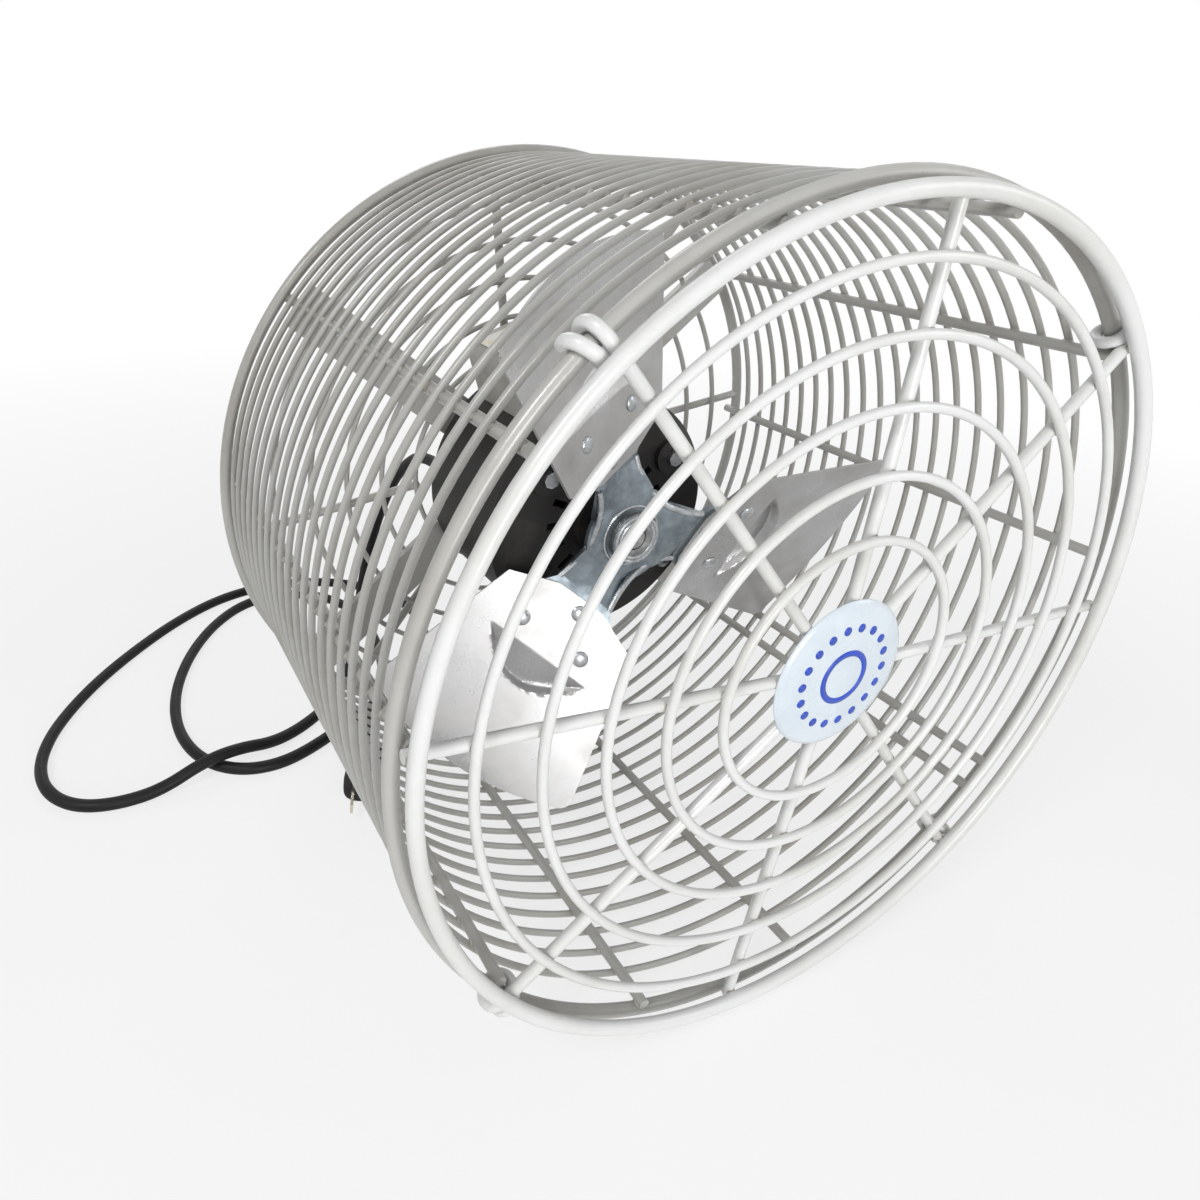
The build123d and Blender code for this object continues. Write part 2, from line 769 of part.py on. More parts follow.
with BuildPart() as plug_body:
    with BuildSketch(plug_plane(0)) as neck:
        Circle(cord_diameter / 2 + plug_neck_wall)
    with BuildSketch(plug_plane(plug_neck_length)) as shoulder:
        Circle(plug_neck_radius)
    loft([neck.sketch, shoulder.sketch])
    with BuildSketch(plug_plane(plug_neck_length)) as grip:
        RectangleRounded(plug_width, plug_thickness, plug_corner)
    extrude(grip.sketch, amount=plug_length)
save(plug_body.part, "plug_body")

plug_face = plug_neck_length + plug_length
with BuildPart() as plug_prongs:
    with BuildSketch(plug_plane(plug_face)) as blades:
        with Locations((-prong_spacing / 2, 0), (prong_spacing / 2, 0)):
            Rectangle(prong_thickness, prong_width)
    extrude(blades.sketch, amount=prong_length)
save(plug_prongs.part, "plug_prongs")
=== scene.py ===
from math import asin, atan2, cos, degrees, pi, radians, sin, sqrt

import bmesh
import bpy
from mathutils import Matrix, Vector


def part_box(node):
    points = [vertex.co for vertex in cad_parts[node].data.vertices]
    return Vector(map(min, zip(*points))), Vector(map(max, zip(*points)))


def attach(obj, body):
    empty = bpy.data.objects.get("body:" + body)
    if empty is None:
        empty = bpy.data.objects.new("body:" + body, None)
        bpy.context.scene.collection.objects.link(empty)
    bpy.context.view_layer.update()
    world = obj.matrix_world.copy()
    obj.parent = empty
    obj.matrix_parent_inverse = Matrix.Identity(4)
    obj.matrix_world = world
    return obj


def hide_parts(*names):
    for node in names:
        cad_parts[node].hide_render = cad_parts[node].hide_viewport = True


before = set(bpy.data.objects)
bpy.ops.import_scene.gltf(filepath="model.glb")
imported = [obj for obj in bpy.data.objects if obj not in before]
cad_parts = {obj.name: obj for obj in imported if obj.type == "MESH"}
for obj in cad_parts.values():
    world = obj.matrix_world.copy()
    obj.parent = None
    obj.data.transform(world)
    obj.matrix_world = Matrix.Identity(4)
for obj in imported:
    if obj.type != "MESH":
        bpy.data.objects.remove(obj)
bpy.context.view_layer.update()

MM = 0.001

# Places taken from the frame, in metres
GUARD_Y = (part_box("front_guard_rim")[0].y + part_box("front_guard_rim")[1].y) / 2
AXIS_Z = (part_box("front_rim")[0].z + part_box("front_rim")[1].z) / 2
BADGE_FRONT_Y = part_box("guard_badge")[0].y
HUB_FRONT_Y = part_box("hub")[0].y
BOX_MIDDLE_Y = (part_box("capacitor_box")[0].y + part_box("capacitor_box")[1].y) / 2

# Cage, in millimetres and degrees
CAGE_INNER = 180.4
CAGE_WIRE = 3.2
RING_COUNT = 19
RING_PITCH = 12.0
FIRST_RING = 29.35
ROD_WIRE = 5.0
ROD_SINK = 0.5
ROD_ANGLES = (144.0, 110.0, 75.0, 40.4, 5.5, -33.6, -38.4, -79.0, -109.0, -139.6, 177.0)
RIM_WIRE = 6.35
RIM_RADIUS = CAGE_INNER + RIM_WIRE / 2
FRONT_RIM = 11.35
REAR_RIM = 258.35

# Front guard and its hooks
GUARD_RIM = 180.0
GUARD_RINGS = 5
GUARD_FIRST = 57.2
GUARD_STEP = 25.4
GUARD_WIRE = 4.0
GUARD_BOW = 5.0
SPOKE_WIRE = 5.0
SPOKE_DEPTH = 5.375
SPOKE_START = 20.0
SPOKE_ANGLES = [-3.0 + 45.0 * i for i in range(8)]
PLAIN_SPOKES = SPOKE_ANGLES[0::2]
HOOKED_SPOKES = SPOKE_ANGLES[1::2]
HOOK_GAP = 0.3
HOOK_RADIUS = RIM_WIRE / 2 + SPOKE_WIRE / 2 + HOOK_GAP
HOOK_SWEEP = 500.0
HOOK_LEAD = 5.6
HOOK_LEAD_START = 80.0
HOOK_STEPS = 54

# Rear guard
REAR_RINGS = 5
REAR_FIRST = 70.0
REAR_STEP = 22.0
REAR_WIRE = 3.2
REAR_SPOKE_WIRE = 5.0
REAR_SPOKE_ANGLES = [9.0 + 45.0 * i for i in range(8)]

# Welds: the beads' radii and places, and how far welded wires sink into each other
WELD_SINK = 0.3
CAGE_BEAD = 2.2
CAGE_BEAD_OUT = 0.2
RIM_BEAD = 2.6
RIM_BEAD_OUT = 0.4
GUARD_BEAD = 2.0
GUARD_BEAD_IN = 0.2
REAR_BEAD = 1.8
REAR_BEAD_FORWARD = 2.4
BEAD_SEED = 5
BEAD_LEAST = 0.75
BEAD_MOST = 1.1

# Badge and its printing
BADGE_RADIUS = 32.5
BADGE_DOME = 1.2
BADGE_DOME_SHARE = 0.8
BADGE_DOME_STEPS = 8
BADGE_EDGE = ((2.0, 1.6), (0.6, 2.2), (0.0, 2.9))
BADGE_BACK_EDGE = (0.3, 0.2)
BADGE_CREASE = 40
PRINT_RAISED = 0.12
PRINT_SUNK = -0.25
PRINT_RING = (9.4, 12.0)
DOT_CIRCLE = 21.5
DOT_RADIUS = 1.9
DOT_ANGLES = range(0, 360, 20)

# Blades and their rivets
HUB_DEPTH = 134.0
BLADE_ANGLES = (-129.0, -9.0, 111.0)
BLADE_SPACING = 120
BLADE_PITCH = 22.0
BLADE_SHEET = 1.4
BLADE_TIP = 152.4
BLADE_HALF_TIP = 67.0
BLADE_CORNER = 7.0
BLADE_ROOT = (42.0, 15.0)
BLADE_SHOULDER = (52.0, 42.0)
BLADE_CREASE = 32
BLADE_ROWS = 120
ROW_SPREAD = 0.999
ROOT_STEPS = 4
TIP_STEPS = 170
CAMBER_RADIUS = 451.0
MOON_INNER = 79.0
MOON_WIDTH = 64.0
MOON_BULGE = 19.0
MOON_DEPTH = 5.0
MOON_LEAST_BULGE = 0.5
MOON_FULL_BULGE = 9
LIP_WIDTH = 1.5
LIP_SHARE = 0.3
RIVET_PLACES = ((49.0, 4.0), (68.0, -20.0), (68.0, 20.0))
RIVET_HEAD = 4.4
RIVET_RISE = 1.6

# Rolled edges of the blade spider, and the rings round the hub
SPIDER_SHEET = 2.5
NECK_OUT = 39.0
NECK_SIDE = 17.0
NOTCH_PULL = 14.0
EDGE_WIRE = 3.4
EDGE_STAND = 1.1
EDGE_STEPS = 24
COLLAR_RINGS = 2
COLLAR_RADIUS = 12.6
COLLAR_STEP = -2.2
COLLAR_WIRE = 2.0
COLLAR_SINK = 0.6
COLLAR_RISE = -0.3
SEAT_RADIUS = 16.5
SEAT_WIRE = 1.8

# Label on the capacitor box
BOX_ANGLE = 110.0
LABEL_RADIUS = 98.0
LABEL_SIZE = (38.0, 46.0)
LABEL_THICKNESS = 0.4


def spot(radius, angle, depth):
    """Point at a radius and an angle from the fan's axis, behind the guard rim's plane."""
    a = radians(angle)
    return Vector((radius * cos(a) * MM, GUARD_Y + depth * MM, AXIS_Z + radius * sin(a) * MM))


def depth_of(y):
    """Depth in millimetres behind the guard rim's plane, of a place in metres."""
    return (y - GUARD_Y) / MM


def guard_depth(radius):
    """Depth of the bowed front guard's spokes at a radius."""
    return SPOKE_DEPTH - GUARD_BOW * (1 - radius / GUARD_RIM)


# Shared shader effects

def new_tree(name, kind, inputs, outputs):
    """Node tree with its sockets, each a name, a type and a value or None."""
    tree = bpy.data.node_groups.new(name, kind)
    for in_out, sockets in (("INPUT", inputs), ("OUTPUT", outputs)):
        for socket, socket_type, value in sockets:
            made = tree.interface.new_socket(name=socket, in_out=in_out, socket_type=socket_type)
            if value is not None:
                made.default_value = value
    return tree, tree.nodes.new("NodeGroupInput"), tree.nodes.new("NodeGroupOutput")


def blotches_group():
    """Soft uneven patches, from 0 to 1."""
    group, given, out = new_tree(
        "blotches", "ShaderNodeTree",
        [("Vector", "NodeSocketVector", None), ("Scale", "NodeSocketFloat", 40.0),
         ("Low", "NodeSocketFloat", 0.35), ("High", "NodeSocketFloat", 0.65)],
        [("Mask", "NodeSocketFloat", None)],
    )
    noise = group.nodes.new("ShaderNodeTexNoise")
    noise.inputs["Detail"].default_value = 6.0
    noise.inputs["Roughness"].default_value = 0.6
    spread = group.nodes.new("ShaderNodeMapRange")
    group.links.new(given.outputs["Vector"], noise.inputs["Vector"])
    group.links.new(given.outputs["Scale"], noise.inputs["Scale"])
    group.links.new(noise.outputs["Fac"], spread.inputs["Value"])
    group.links.new(given.outputs["Low"], spread.inputs["From Min"])
    group.links.new(given.outputs["High"], spread.inputs["From Max"])
    group.links.new(spread.outputs["Result"], out.inputs["Mask"])
    return group


def grain_group():
    """Fine bump, stretched along one axis by its vector."""
    group, given, out = new_tree(
        "grain", "ShaderNodeTree",
        [("Vector", "NodeSocketVector", None), ("Scale", "NodeSocketFloat", 900.0),
         ("Distance", "NodeSocketFloat", 0.0002), ("Strength", "NodeSocketFloat", 0.3)],
        [("Normal", "NodeSocketVector", None)],
    )
    noise = group.nodes.new("ShaderNodeTexNoise")
    noise.inputs["Detail"].default_value = 3.0
    bump = group.nodes.new("ShaderNodeBump")
    group.links.new(given.outputs["Vector"], noise.inputs["Vector"])
    group.links.new(given.outputs["Scale"], noise.inputs["Scale"])
    group.links.new(noise.outputs["Fac"], bump.inputs["Height"])
    group.links.new(given.outputs["Distance"], bump.inputs["Distance"])
    group.links.new(given.outputs["Strength"], bump.inputs["Strength"])
    group.links.new(bump.outputs["Normal"], out.inputs["Normal"])
    return group


BLOTCHES = blotches_group()
GRAIN = grain_group()


# Finishes

def finish(name, colour, patches, roughness, metallic=0.0, gloss=0.5, coat=0.0, patch_scale=30.0,
           patch_range=(0.35, 0.65), grain_scale=900.0, grain_depth=0.0001, stretch=(1, 1, 1)):
    """Finish: a colour with soft patches of another, roughness that follows them, and a fine grain."""
    material = bpy.data.materials.new(name)
    material.use_nodes = True
    nodes, links = material.node_tree.nodes, material.node_tree.links
    shader = nodes["Principled BSDF"]
    shader.inputs["Metallic"].default_value = metallic
    shader.inputs["Specular IOR Level"].default_value = gloss
    shader.inputs["Coat Weight"].default_value = coat
    place = nodes.new("ShaderNodeTexCoord")
    mapping = nodes.new("ShaderNodeMapping")
    mapping.inputs["Scale"].default_value = stretch
    links.new(place.outputs["Object"], mapping.inputs["Vector"])
    blotches = nodes.new("ShaderNodeGroup")
    blotches.node_tree = BLOTCHES
    blotches.inputs["Scale"].default_value = patch_scale
    blotches.inputs["Low"].default_value = patch_range[0]
    blotches.inputs["High"].default_value = patch_range[1]
    links.new(place.outputs["Object"], blotches.inputs["Vector"])
    mix = nodes.new("ShaderNodeMix")
    mix.data_type = "RGBA"
    mix.inputs["A"].default_value = (*colour, 1)
    mix.inputs["B"].default_value = (*patches, 1)
    links.new(blotches.outputs["Mask"], mix.inputs["Factor"])
    links.new(mix.outputs["Result"], shader.inputs["Base Color"])
    rough = nodes.new("ShaderNodeMapRange")
    rough.inputs["To Min"].default_value = roughness[0]
    rough.inputs["To Max"].default_value = roughness[1]
    links.new(blotches.outputs["Mask"], rough.inputs["Value"])
    links.new(rough.outputs["Result"], shader.inputs["Roughness"])
    grain = nodes.new("ShaderNodeGroup")
    grain.node_tree = GRAIN
    grain.inputs["Scale"].default_value = grain_scale
    grain.inputs["Distance"].default_value = grain_depth
    links.new(mapping.outputs["Vector"], grain.inputs["Vector"])
    links.new(grain.outputs["Normal"], shader.inputs["Normal"])
    return material


DULL_GLOSS = 0.22
# The cage's coat is a darker, warmer copy of the guard's off-white coat: painted shade for the cage wires
# that lie in shade
SHADED_CAGE_PAINT = finish(
    "cage_powder_coat_painted_shade", colour=(0.47, 0.465, 0.44), patches=(0.33, 0.31, 0.27), roughness=(0.28, 0.5),
    coat=0.25, patch_scale=14.0, patch_range=(0.45, 0.78), grain_scale=700.0, grain_depth=0.0003)
GUARD_PAINT = finish(
    "guard_powder_coat", colour=(0.76, 0.765, 0.75), patches=(0.60, 0.59, 0.55), roughness=(0.28, 0.45),
    coat=0.3, patch_scale=9.0, patch_range=(0.45, 0.78), grain_scale=700.0, grain_depth=0.0003)
WELD_PAINT = finish(
    "coat_over_welds", colour=(0.58, 0.57, 0.54), patches=(0.34, 0.31, 0.26), roughness=(0.35, 0.6),
    patch_scale=220.0, grain_scale=1500.0, grain_depth=0.0005)
BADGE_ENAMEL = finish(
    "badge_enamel", colour=(0.66, 0.73, 0.78), patches=(0.60, 0.67, 0.73), roughness=(0.22, 0.34),
    coat=0.5, patch_scale=60.0, grain_scale=500.0, grain_depth=0.00005)
BADGE_BLUE = finish(
    "badge_blue_ink", colour=(0.010, 0.055, 0.45), patches=(0.012, 0.07, 0.52), roughness=(0.3, 0.4),
    patch_scale=200.0, grain_scale=1500.0, grain_depth=0.00005)
# Aluminium's colour is dimmed well below bright metal: painted shade that darkens the blades' reflections;
# its darker patches are smudges
DIMMED_ALUMINIUM = finish(
    "rolled_aluminium_painted_shade", colour=(0.50, 0.50, 0.50), patches=(0.36, 0.35, 0.34), roughness=(0.26, 0.46),
    metallic=1.0, patch_scale=26.0, patch_range=(0.4, 0.75), grain_scale=90.0, grain_depth=0.000008,
    stretch=(1, 1, 4))
ZINC = finish(
    "bluish_zinc_plate", colour=(0.30, 0.345, 0.375), patches=(0.19, 0.22, 0.245), roughness=(0.28, 0.5),
    metallic=1.0, patch_scale=120.0)
BRIGHT_ZINC = finish(
    "bright_zinc_plate", colour=(0.55, 0.57, 0.59), patches=(0.36, 0.37, 0.38), roughness=(0.18, 0.4),
    metallic=1.0, patch_scale=300.0, grain_scale=1500.0)
TURNED = finish(
    "turned_steel", colour=(0.40, 0.40, 0.40), patches=(0.22, 0.22, 0.22), roughness=(0.2, 0.35),
    metallic=1.0, patch_scale=150.0, grain_scale=1200.0, stretch=(1, 12, 1))
STACK = finish(
    "stacked_laminations", colour=(0.22, 0.21, 0.20), patches=(0.15, 0.14, 0.13), roughness=(0.45, 0.6),
    metallic=0.9, patch_scale=80.0, grain_scale=300.0, grain_depth=0.0006, stretch=(0.1, 14, 0.1))
MOTOR_PAINT = finish(
    "motor_paint", colour=(0.022, 0.021, 0.020), patches=(0.060, 0.052, 0.045), roughness=(0.5, 0.75),
    gloss=DULL_GLOSS, patch_scale=45.0, patch_range=(0.5, 0.85), grain_scale=800.0, grain_depth=0.0002)
BOX_PAINT = finish(
    "capacitor_box_paint", colour=(0.50, 0.49, 0.46), patches=(0.40, 0.38, 0.34), roughness=(0.35, 0.55),
    patch_scale=40.0, grain_depth=0.0002)
LABEL = finish(
    "bare_label", colour=(0.78, 0.77, 0.70), patches=(0.74, 0.66, 0.28), roughness=(0.3, 0.4),
    patch_scale=38.0, patch_range=(0.5, 0.62), grain_scale=600.0, grain_depth=0.00005)
RUBBER = finish(
    "cord_jacket", colour=(0.006, 0.006, 0.007), patches=(0.012, 0.012, 0.012), roughness=(0.42, 0.6),
    gloss=DULL_GLOSS, patch_scale=60.0, grain_scale=1500.0)
VINYL = finish(
    "moulded_vinyl", colour=(0.014, 0.014, 0.015), patches=(0.028, 0.027, 0.026), roughness=(0.4, 0.6),
    gloss=DULL_GLOSS, patch_scale=90.0, grain_scale=2200.0, grain_depth=0.0002)
PLATED = finish(
    "plated_prongs", colour=(0.72, 0.68, 0.58), patches=(0.60, 0.56, 0.46), roughness=(0.2, 0.35),
    metallic=1.0, patch_scale=300.0, grain_depth=0.00005)

NODE_FINISHES = {
    MOTOR_PAINT: ("motor_shell", "front_end_bell", "rear_end_bell"),
    STACK: ("stator", "rotor_core"),
    TURNED: ("front_bearing", "rear_bearing", "motor_shaft", "hub"),
    BRIGHT_ZINC: ("through_bolts", "mount_nuts", "mount_spacers", "hub_set_screws"),
    SHADED_CAGE_PAINT: ("mount_bar_inner", "mount_bar_outer"),
    BOX_PAINT: ("capacitor_box",),
    DIMMED_ALUMINIUM: ("capacitor",),
    ZINC: ("blade_spider",),
    VINYL: ("strain_relief",),
    PLATED: ("plug_prongs",),
}


def finish_nodes():
    """Gives the solids that stay in view their finishes."""
    for material, names in NODE_FINISHES.items():
        for name in names:
            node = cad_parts[name]
            node.data.materials.clear()
            node.data.materials.append(material)
            for polygon in node.data.polygons:
                polygon.use_smooth = False


# Making pieces

def in_scene(name, data):
    """New object of that name in the scene."""
    obj = bpy.data.objects.new(name, data)
    bpy.context.scene.collection.objects.link(obj)
    return obj


def settle(obj, body):
    """A finished piece: rides on its body."""
    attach(obj, body)
    return obj


def plain_mesh(obj, name):
    """Turns an object with modifiers, or a curve, into a plain mesh object of that name."""
    graph = bpy.context.evaluated_depsgraph_get()
    mesh = bpy.data.meshes.new_from_object(obj.evaluated_get(graph), depsgraph=graph)
    made = in_scene(name, mesh)
    bpy.data.objects.remove(obj, do_unlink=True)
    mesh.name = name
    return made


def mesh_object(name, points, faces, material=None, smooth=True):
    """Mesh object from points in metres and faces."""
    mesh = bpy.data.meshes.new(name)
    mesh.from_pydata([tuple(p) for p in points], [], faces)
    if material:
        mesh.materials.append(material)
    for polygon in mesh.polygons:
        polygon.use_smooth = smooth
    return in_scene(name, mesh)


def round_curve(name, thickness, roundness, material):
    """Curve without a path yet, that sweeps a round section of a thickness in millimetres."""
    curve = bpy.data.curves.new(name, "CURVE")
    curve.dimensions = "3D"
    curve.bevel_depth = thickness * MM / 2
    curve.bevel_resolution = roundness
    curve.use_fill_caps = True
    curve.materials.append(material)
    return curve


def add_path(curve, kind, path):
    """Adds a spline of that kind along a path of points."""
    spline = curve.splines.new(kind)
    spline.points.add(len(path) - 1)
    for point, place in zip(spline.points, path):
        point.co = (*place, 1)
    return spline


def wires(name, paths, thickness, material, roundness=4):
    """Round wires along paths of points, with a thickness in millimetres, as one mesh."""
    curve = round_curve(name, thickness, roundness, material)
    for path in paths:
        add_path(curve, "POLY", path).use_smooth = True
    return plain_mesh(in_scene(name + "_line", curve), name)


def joined(name, objects):
    """One mesh object from several."""
    first = objects[0]
    with bpy.context.temp_override(
        active_object=first, object=first, selected_editable_objects=objects, selected_objects=objects
    ):
        bpy.ops.object.join()
    first.name = name
    first.data.name = name
    return first


def facing_out(obj):
    """Makes a closed mesh's faces point outwards."""
    work = bmesh.new()
    work.from_mesh(obj.data)
    bmesh.ops.recalc_face_normals(work, faces=work.faces)
    work.to_mesh(obj.data)
    work.free()
    return obj


def sharp_edges(obj, crease):
    """Shades edges sharp that bend by more than an angle in degrees."""
    obj.data.set_sharp_from_angle(angle=radians(crease))
    return obj


def paint_result(tree, given, out, geometry):
    """Ends a tree: smooth shading and the material that it is given."""
    smooth = tree.nodes.new("GeometryNodeSetShadeSmooth")
    painted = tree.nodes.new("GeometryNodeSetMaterial")
    tree.links.new(geometry, smooth.inputs["Geometry"])
    tree.links.new(smooth.outputs["Geometry"], painted.inputs["Geometry"])
    tree.links.new(given.outputs["Material"], painted.inputs["Material"])
    tree.links.new(painted.outputs["Geometry"], out.inputs["Geometry"])


def ring_stack_tree():
    """Closed round rings in a row along the axis, each wider than the last by a step."""
    ring_sides, wire_sides = 144, 10
    tree, given, out = new_tree(
        "ring_stack", "GeometryNodeTree",
        [("Count", "NodeSocketInt", 5), ("Radius", "NodeSocketFloat", 0.1),
         ("Radius Step", "NodeSocketFloat", 0.0), ("Place", "NodeSocketVector", (0, 0, 0)),
         ("Step", "NodeSocketVector", (0, 0, 0)), ("Wire", "NodeSocketFloat", 0.002),
         ("Material", "NodeSocketMaterial", None)],
        [("Geometry", "NodeSocketGeometry", None)],
    )
    nodes, links = tree.nodes, tree.links
    row = nodes.new("GeometryNodeMeshLine")
    links.new(given.outputs["Count"], row.inputs["Count"])
    links.new(given.outputs["Place"], row.inputs["Start Location"])
    links.new(given.outputs["Step"], row.inputs["Offset"])
    index = nodes.new("GeometryNodeInputIndex")
    size = nodes.new("ShaderNodeMath")
    size.operation = "MULTIPLY_ADD"
    links.new(index.outputs["Index"], size.inputs[0])
    links.new(given.outputs["Radius Step"], size.inputs[1])
    links.new(given.outputs["Radius"], size.inputs[2])
    circle = nodes.new("GeometryNodeCurvePrimitiveCircle")
    circle.inputs["Resolution"].default_value = ring_sides
    circle.inputs["Radius"].default_value = 1.0
    copies = nodes.new("GeometryNodeInstanceOnPoints")
    copies.inputs["Rotation"].default_value = (pi / 2, 0, 0)
    links.new(row.outputs["Mesh"], copies.inputs["Points"])
    links.new(circle.outputs["Curve"], copies.inputs["Instance"])
    links.new(size.outputs["Value"], copies.inputs["Scale"])
    real = nodes.new("GeometryNodeRealizeInstances")
    links.new(copies.outputs["Instances"], real.inputs["Geometry"])
    even = nodes.new("GeometryNodeSetCurveRadius")
    even.inputs["Radius"].default_value = 1.0
    links.new(real.outputs["Geometry"], even.inputs["Curve"])
    profile = nodes.new("GeometryNodeCurvePrimitiveCircle")
    profile.inputs["Resolution"].default_value = wire_sides
    links.new(given.outputs["Wire"], profile.inputs["Radius"])
    sweep = nodes.new("GeometryNodeCurveToMesh")
    links.new(even.outputs["Curve"], sweep.inputs["Curve"])
    links.new(profile.outputs["Curve"], sweep.inputs["Profile Curve"])
    paint_result(tree, given, out, sweep.outputs["Mesh"])
    return tree


def weld_beads_tree():
    """Small uneven beads of weld on the points of a mesh."""
    tree, given, out = new_tree(
        "weld_beads", "GeometryNodeTree",
        [("Geometry", "NodeSocketGeometry", None), ("Size", "NodeSocketFloat", 0.003),
         ("Seed", "NodeSocketInt", 3), ("Material", "NodeSocketMaterial", None)],
        [("Geometry", "NodeSocketGeometry", None)],
    )
    nodes, links = tree.nodes, tree.links
    ball = nodes.new("GeometryNodeMeshIcoSphere")
    ball.inputs["Subdivisions"].default_value = 2
    links.new(given.outputs["Size"], ball.inputs["Radius"])
    uneven = nodes.new("FunctionNodeRandomValue")
    uneven.data_type = "FLOAT_VECTOR"
    uneven.inputs["Min"].default_value = [BEAD_LEAST] * 3
    uneven.inputs["Max"].default_value = [BEAD_MOST] * 3
    links.new(given.outputs["Seed"], uneven.inputs["Seed"])
    copies = nodes.new("GeometryNodeInstanceOnPoints")
    links.new(given.outputs["Geometry"], copies.inputs["Points"])
    links.new(ball.outputs["Mesh"], copies.inputs["Instance"])
    links.new(uneven.outputs["Value"], copies.inputs["Scale"])
    real = nodes.new("GeometryNodeRealizeInstances")
    links.new(copies.outputs["Instances"], real.inputs["Geometry"])
    paint_result(tree, given, out, real.outputs["Geometry"])
    return tree


RING_STACK = ring_stack_tree()
WELD_BEADS = weld_beads_tree()


def with_tree(obj, tree, values, name):
    """Runs a geometry tree with the given inputs and returns the plain mesh object."""
    modifier = obj.modifiers.new("build", "NODES")
    modifier.node_group = tree
    for item in tree.interface.items_tree:
        if item.in_out == "INPUT" and item.name in values:
            modifier[item.identifier] = values[item.name]
    return plain_mesh(obj, name)


def ring_stack(name, wire, material, radius, depth, count=1, radius_step=0, depth_step=0):
    """Rings of wire round the fan's axis, sizes in millimetres."""
    start = mesh_object(name + "_start", [(0, 0, 0)], [])
    values = {
        "Count": count, "Radius": radius * MM, "Radius Step": radius_step * MM,
        "Place": (0.0, GUARD_Y + depth * MM, AXIS_Z), "Step": (0.0, depth_step * MM, 0.0),
        "Wire": wire * MM / 2, "Material": material,
    }
    return with_tree(start, RING_STACK, values, name)


def weld_beads(name, places, size):
    """Beads of weld at places in metres, with a radius in millimetres."""
    start = mesh_object(name + "_places", places, [])
    values = {"Size": size * MM, "Seed": BEAD_SEED, "Material": WELD_PAINT}
    return with_tree(start, WELD_BEADS, values, name)


def turned(name, outline, material, sides=96):
    """Closed shape turned about the fan's axis, from (radius, depth) points that start and end on it."""
    points, faces = [], []
    rows = outline[1:-1]
    for radius, depth in rows:
        points += [spot(radius, 360 * i / sides, depth) for i in range(sides)]
    for row in range(len(rows) - 1):
        for i in range(sides):
            j = (i + 1) % sides
            faces.append((row * sides + i, row * sides + j, (row + 1) * sides + j, (row + 1) * sides + i))
    points += [spot(0, 0, outline[0][1]), spot(0, 0, outline[-1][1])]
    first, last = len(points) - 2, len(points) - 1
    end = (len(rows) - 1) * sides
    for i in range(sides):
        j = (i + 1) % sides
        faces.append((first, j, i))
        faces.append((last, end + i, end + j))
    return mesh_object(name, points, faces, material)


# Cage

def make_cage_drum():
    """Closed rings, the rods inside them and a bead of weld at every crossing."""
    rod_radius = CAGE_INNER - ROD_WIRE / 2 + ROD_SINK
    rod_depths = (FRONT_RIM - RIM_WIRE / 2, REAR_RIM + RIM_WIRE / 2)
    ring_depths = [FIRST_RING + i * RING_PITCH for i in range(RING_COUNT)]
    rods = [[spot(rod_radius, a, d) for d in rod_depths] for a in ROD_ANGLES]
    crossings = [spot(CAGE_INNER + CAGE_BEAD_OUT, a, d) for a in ROD_ANGLES for d in ring_depths]
    drum = joined("cage_drum_wires", [
        ring_stack("cage_rings", CAGE_WIRE, SHADED_CAGE_PAINT, radius=CAGE_INNER + CAGE_WIRE / 2, depth=FIRST_RING,
                   count=RING_COUNT, depth_step=RING_PITCH),
        wires("cage_rods", rods, ROD_WIRE, SHADED_CAGE_PAINT),
        weld_beads("cage_welds", crossings, CAGE_BEAD),
    ])
    settle(drum, "cage")
    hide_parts("cage_drum")


def make_rim(name, node, radius, depth, paint, welds):
    """Thick rim with its beads of weld."""
    rim = joined(name, [
        ring_stack(name + "_ring", RIM_WIRE, paint, radius=radius, depth=depth),
        weld_beads(name + "_welds", welds, RIM_BEAD),
    ])
    settle(rim, "cage")
    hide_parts(node)


def make_rims():
    """The cage's front and rear rims and the front guard's rim."""
    weld_radius = CAGE_INNER + RIM_BEAD_OUT
    front_welds = [spot(weld_radius, a, FRONT_RIM) for a in ROD_ANGLES]
    rear_welds = [spot(weld_radius, a, REAR_RIM) for a in (*ROD_ANGLES, *REAR_SPOKE_ANGLES)]
    guard_welds = [spot(GUARD_RIM, a, RIM_WIRE / 2 - WELD_SINK) for a in SPOKE_ANGLES]
    make_rim("front_rim_wire", "front_rim", RIM_RADIUS, FRONT_RIM, SHADED_CAGE_PAINT, front_welds)
    make_rim("rear_rim_wire", "rear_rim", RIM_RADIUS, REAR_RIM, SHADED_CAGE_PAINT, rear_welds)
    make_rim("front_guard_rim_wire", "front_guard_rim", GUARD_RIM, 0.0, GUARD_PAINT,
             guard_welds)


# Guards

